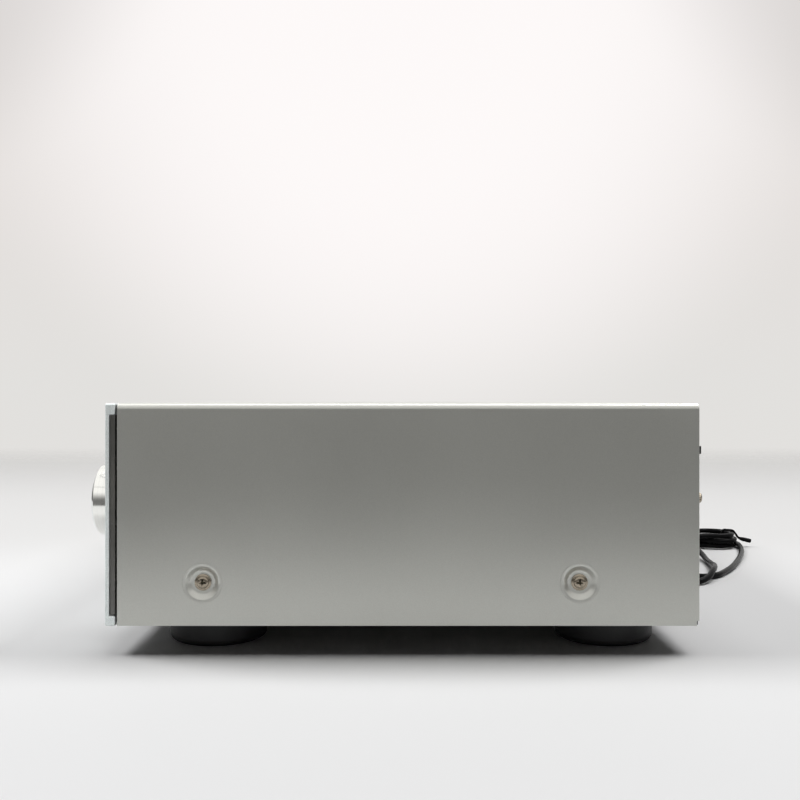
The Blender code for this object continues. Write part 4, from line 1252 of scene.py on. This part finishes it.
def add_antenna():
    """The aerial socket: a push terminal with two openings beside a threaded coaxial one."""
    low = box_mm("antenna_terminal")[0]
    middle = middle_mm("antenna_terminal")
    coax = -13.0
    push = 15
    bm = bmesh.new()
    add_loft(bm, [rounded_rectangle(40, 15, 1.0, low.y - REAR_Y), rounded_rectangle(40, 15, 1.0, 0.4)])
    add_loft(bm, [
        rounded_rectangle(56, 24, 2.0, 0.3), rounded_rectangle(56, 24, 2.0, 1.6),
        rounded_rectangle(55.4, 23.4, 2.0, 1.9),
    ])
    add_loft(bm, [
        rounded_rectangle(20, 11, 1.2, 1.7, (push, 0)), rounded_rectangle(20, 11, 1.2, 5.6, (push, 0)),
        rounded_rectangle(19.2, 10.2, 1.0, 6.0, (push, 0)),
    ])
    thread = [(4.9, 1.8), (5.4, 1.9), (5.4, 2.8), (4.4, 3.0)]
    turns = 10
    pitch = (9.4 - 3.2) / turns
    for turn in range(turns):
        start = 3.2 + pitch * turn
        thread += [
            (4.35, start), (4.7, start + 0.3 * pitch), (4.7, start + 0.55 * pitch),
            (4.35, start + 0.85 * pitch),
        ]
    thread += [(4.3, 9.7), (4.0, 10.0), (3.6, 10.0), (3.5, 9.6)]
    add_turned(bm, thread, 48, centre=(coax, 0), material=1)
    add_turned(bm, [(3.5, 8.8), (3.5, 9.5), (0.7, 9.5), (0.7, 5.0)], 32, centre=(coax, 0), material=2)
    piece = object_from("antenna_socket", bm, ["black_plastic", "contact", "white_plastic"])
    stand(piece, (middle.x, REAR_Y, middle.z), "rear")
    tool = bmesh.new()
    for side in (-1, 1):
        spot = (push + side * 4.2, 0)
        add_loft(tool, [rounded_rectangle(3.0, 5.0, 0.5, height, spot) for height in (3.2, 8.0)])
    carve(piece, tool)
    settle(piece, stands_for="antenna_terminal")


def add_ground_terminal():
    """The ground stud with its washer, and the knurled nut that turns on it."""
    length = box_mm("ground_nut")[1].y - REAR_Y

    def post(bm):
        add_turned(bm, [(4.4, -3.7), (4.5, -3.6), (4.5, -1.6), (2.0, -1.5), (2.0, 8.6), (1.7, 9.0)], 48)
        add_turned(bm, [(2.3, 0.1), (5.0, 0.1), (5.0, 0.7), (4.6, 0.95), (2.3, 0.95)], 48, ring=True)

    def nut(bm):
        add_turned(bm, [
            (2.3, 9.3), (2.3, 1.3), (3.5, 1.3), (3.8, 1.6), (3.8, 2.8), (3.6, 3.1), (3.2, 3.3), (3.2, 3.9),
            (3.5, 4.2), (3.5, 12.6), (3.3, 13.2), (2.8, length), (0.4, length),
        ], 108, ribs=(NUT_RIBS, 0.3, 4.1, 12.7))

    piece = turned_node("ground_post", "ground_stud", post, ["screw_metal"], "rear", REAR_Y)
    settle(piece, stands_for="ground_post", smooth=35)
    piece = turned_node("ground_nut", "ground_cap_knurled", nut, ["screw_metal"], "rear", REAR_Y)
    settle(piece, stands_for="ground_nut", smooth=40)


def add_printed_frames():
    """Plain ink outlines that group the rear connectors."""
    bm = bmesh.new()
    line = 0.5
    for x0, x1, z0, z1 in PRINTED_FRAMES:
        width, depth = x1 - x0, z1 - z0
        centre = ((x0 + x1) / 2, -(z0 + z1) / 2)
        outer = rounded_rectangle(width, depth, 2.0, 0.0, centre)
        inner = rounded_rectangle(width - 2 * line, depth - 2 * line, 1.5, 0.0, centre)
        rows = [[(x, y, height) for x, y, _ in row] for row, height in
                ((outer, -0.02), (outer, 0.04), (inner, 0.04), (inner, -0.02))]
        add_loft(bm, rows, ring=True)
    piece = object_from("panel_outlines", bm)
    stand(piece, (0, REAR_Y, 0), "rear")
    settle(piece, ["panel_ink"])


# ---------------------------------------------------------------- inside

def dress_inner_nodes():
    """Inner nodes keep their CAD shape and take their slot's material."""
    for node, piece in frame["nodes"].items():
        piece.data.materials.clear()
        piece.data.materials.append(LOOKS[SLOT_OF[node]])


add_camera()
add_world()
add_floor()
LOOKS = make_materials()
dress_inner_nodes()
add_cord()
add_cover()
add_fasteners()
add_feet()
add_fascia()
add_panels()
for knob_node in ("volume_knob", "selector_knob"):
    add_knob(knob_node, *LARGE_KNOB)
for knob_node in ("bass_knob", "treble_knob", "balance_knob"):
    add_knob(knob_node, *TONE_KNOB)
add_buttons()
add_headphone_jack()
add_indicator()
add_line_jacks()
add_speaker_terminals()
add_antenna()
add_ground_terminal()
add_printed_frames()
for lamp in LAMPS:
    add_area_light(*lamp)
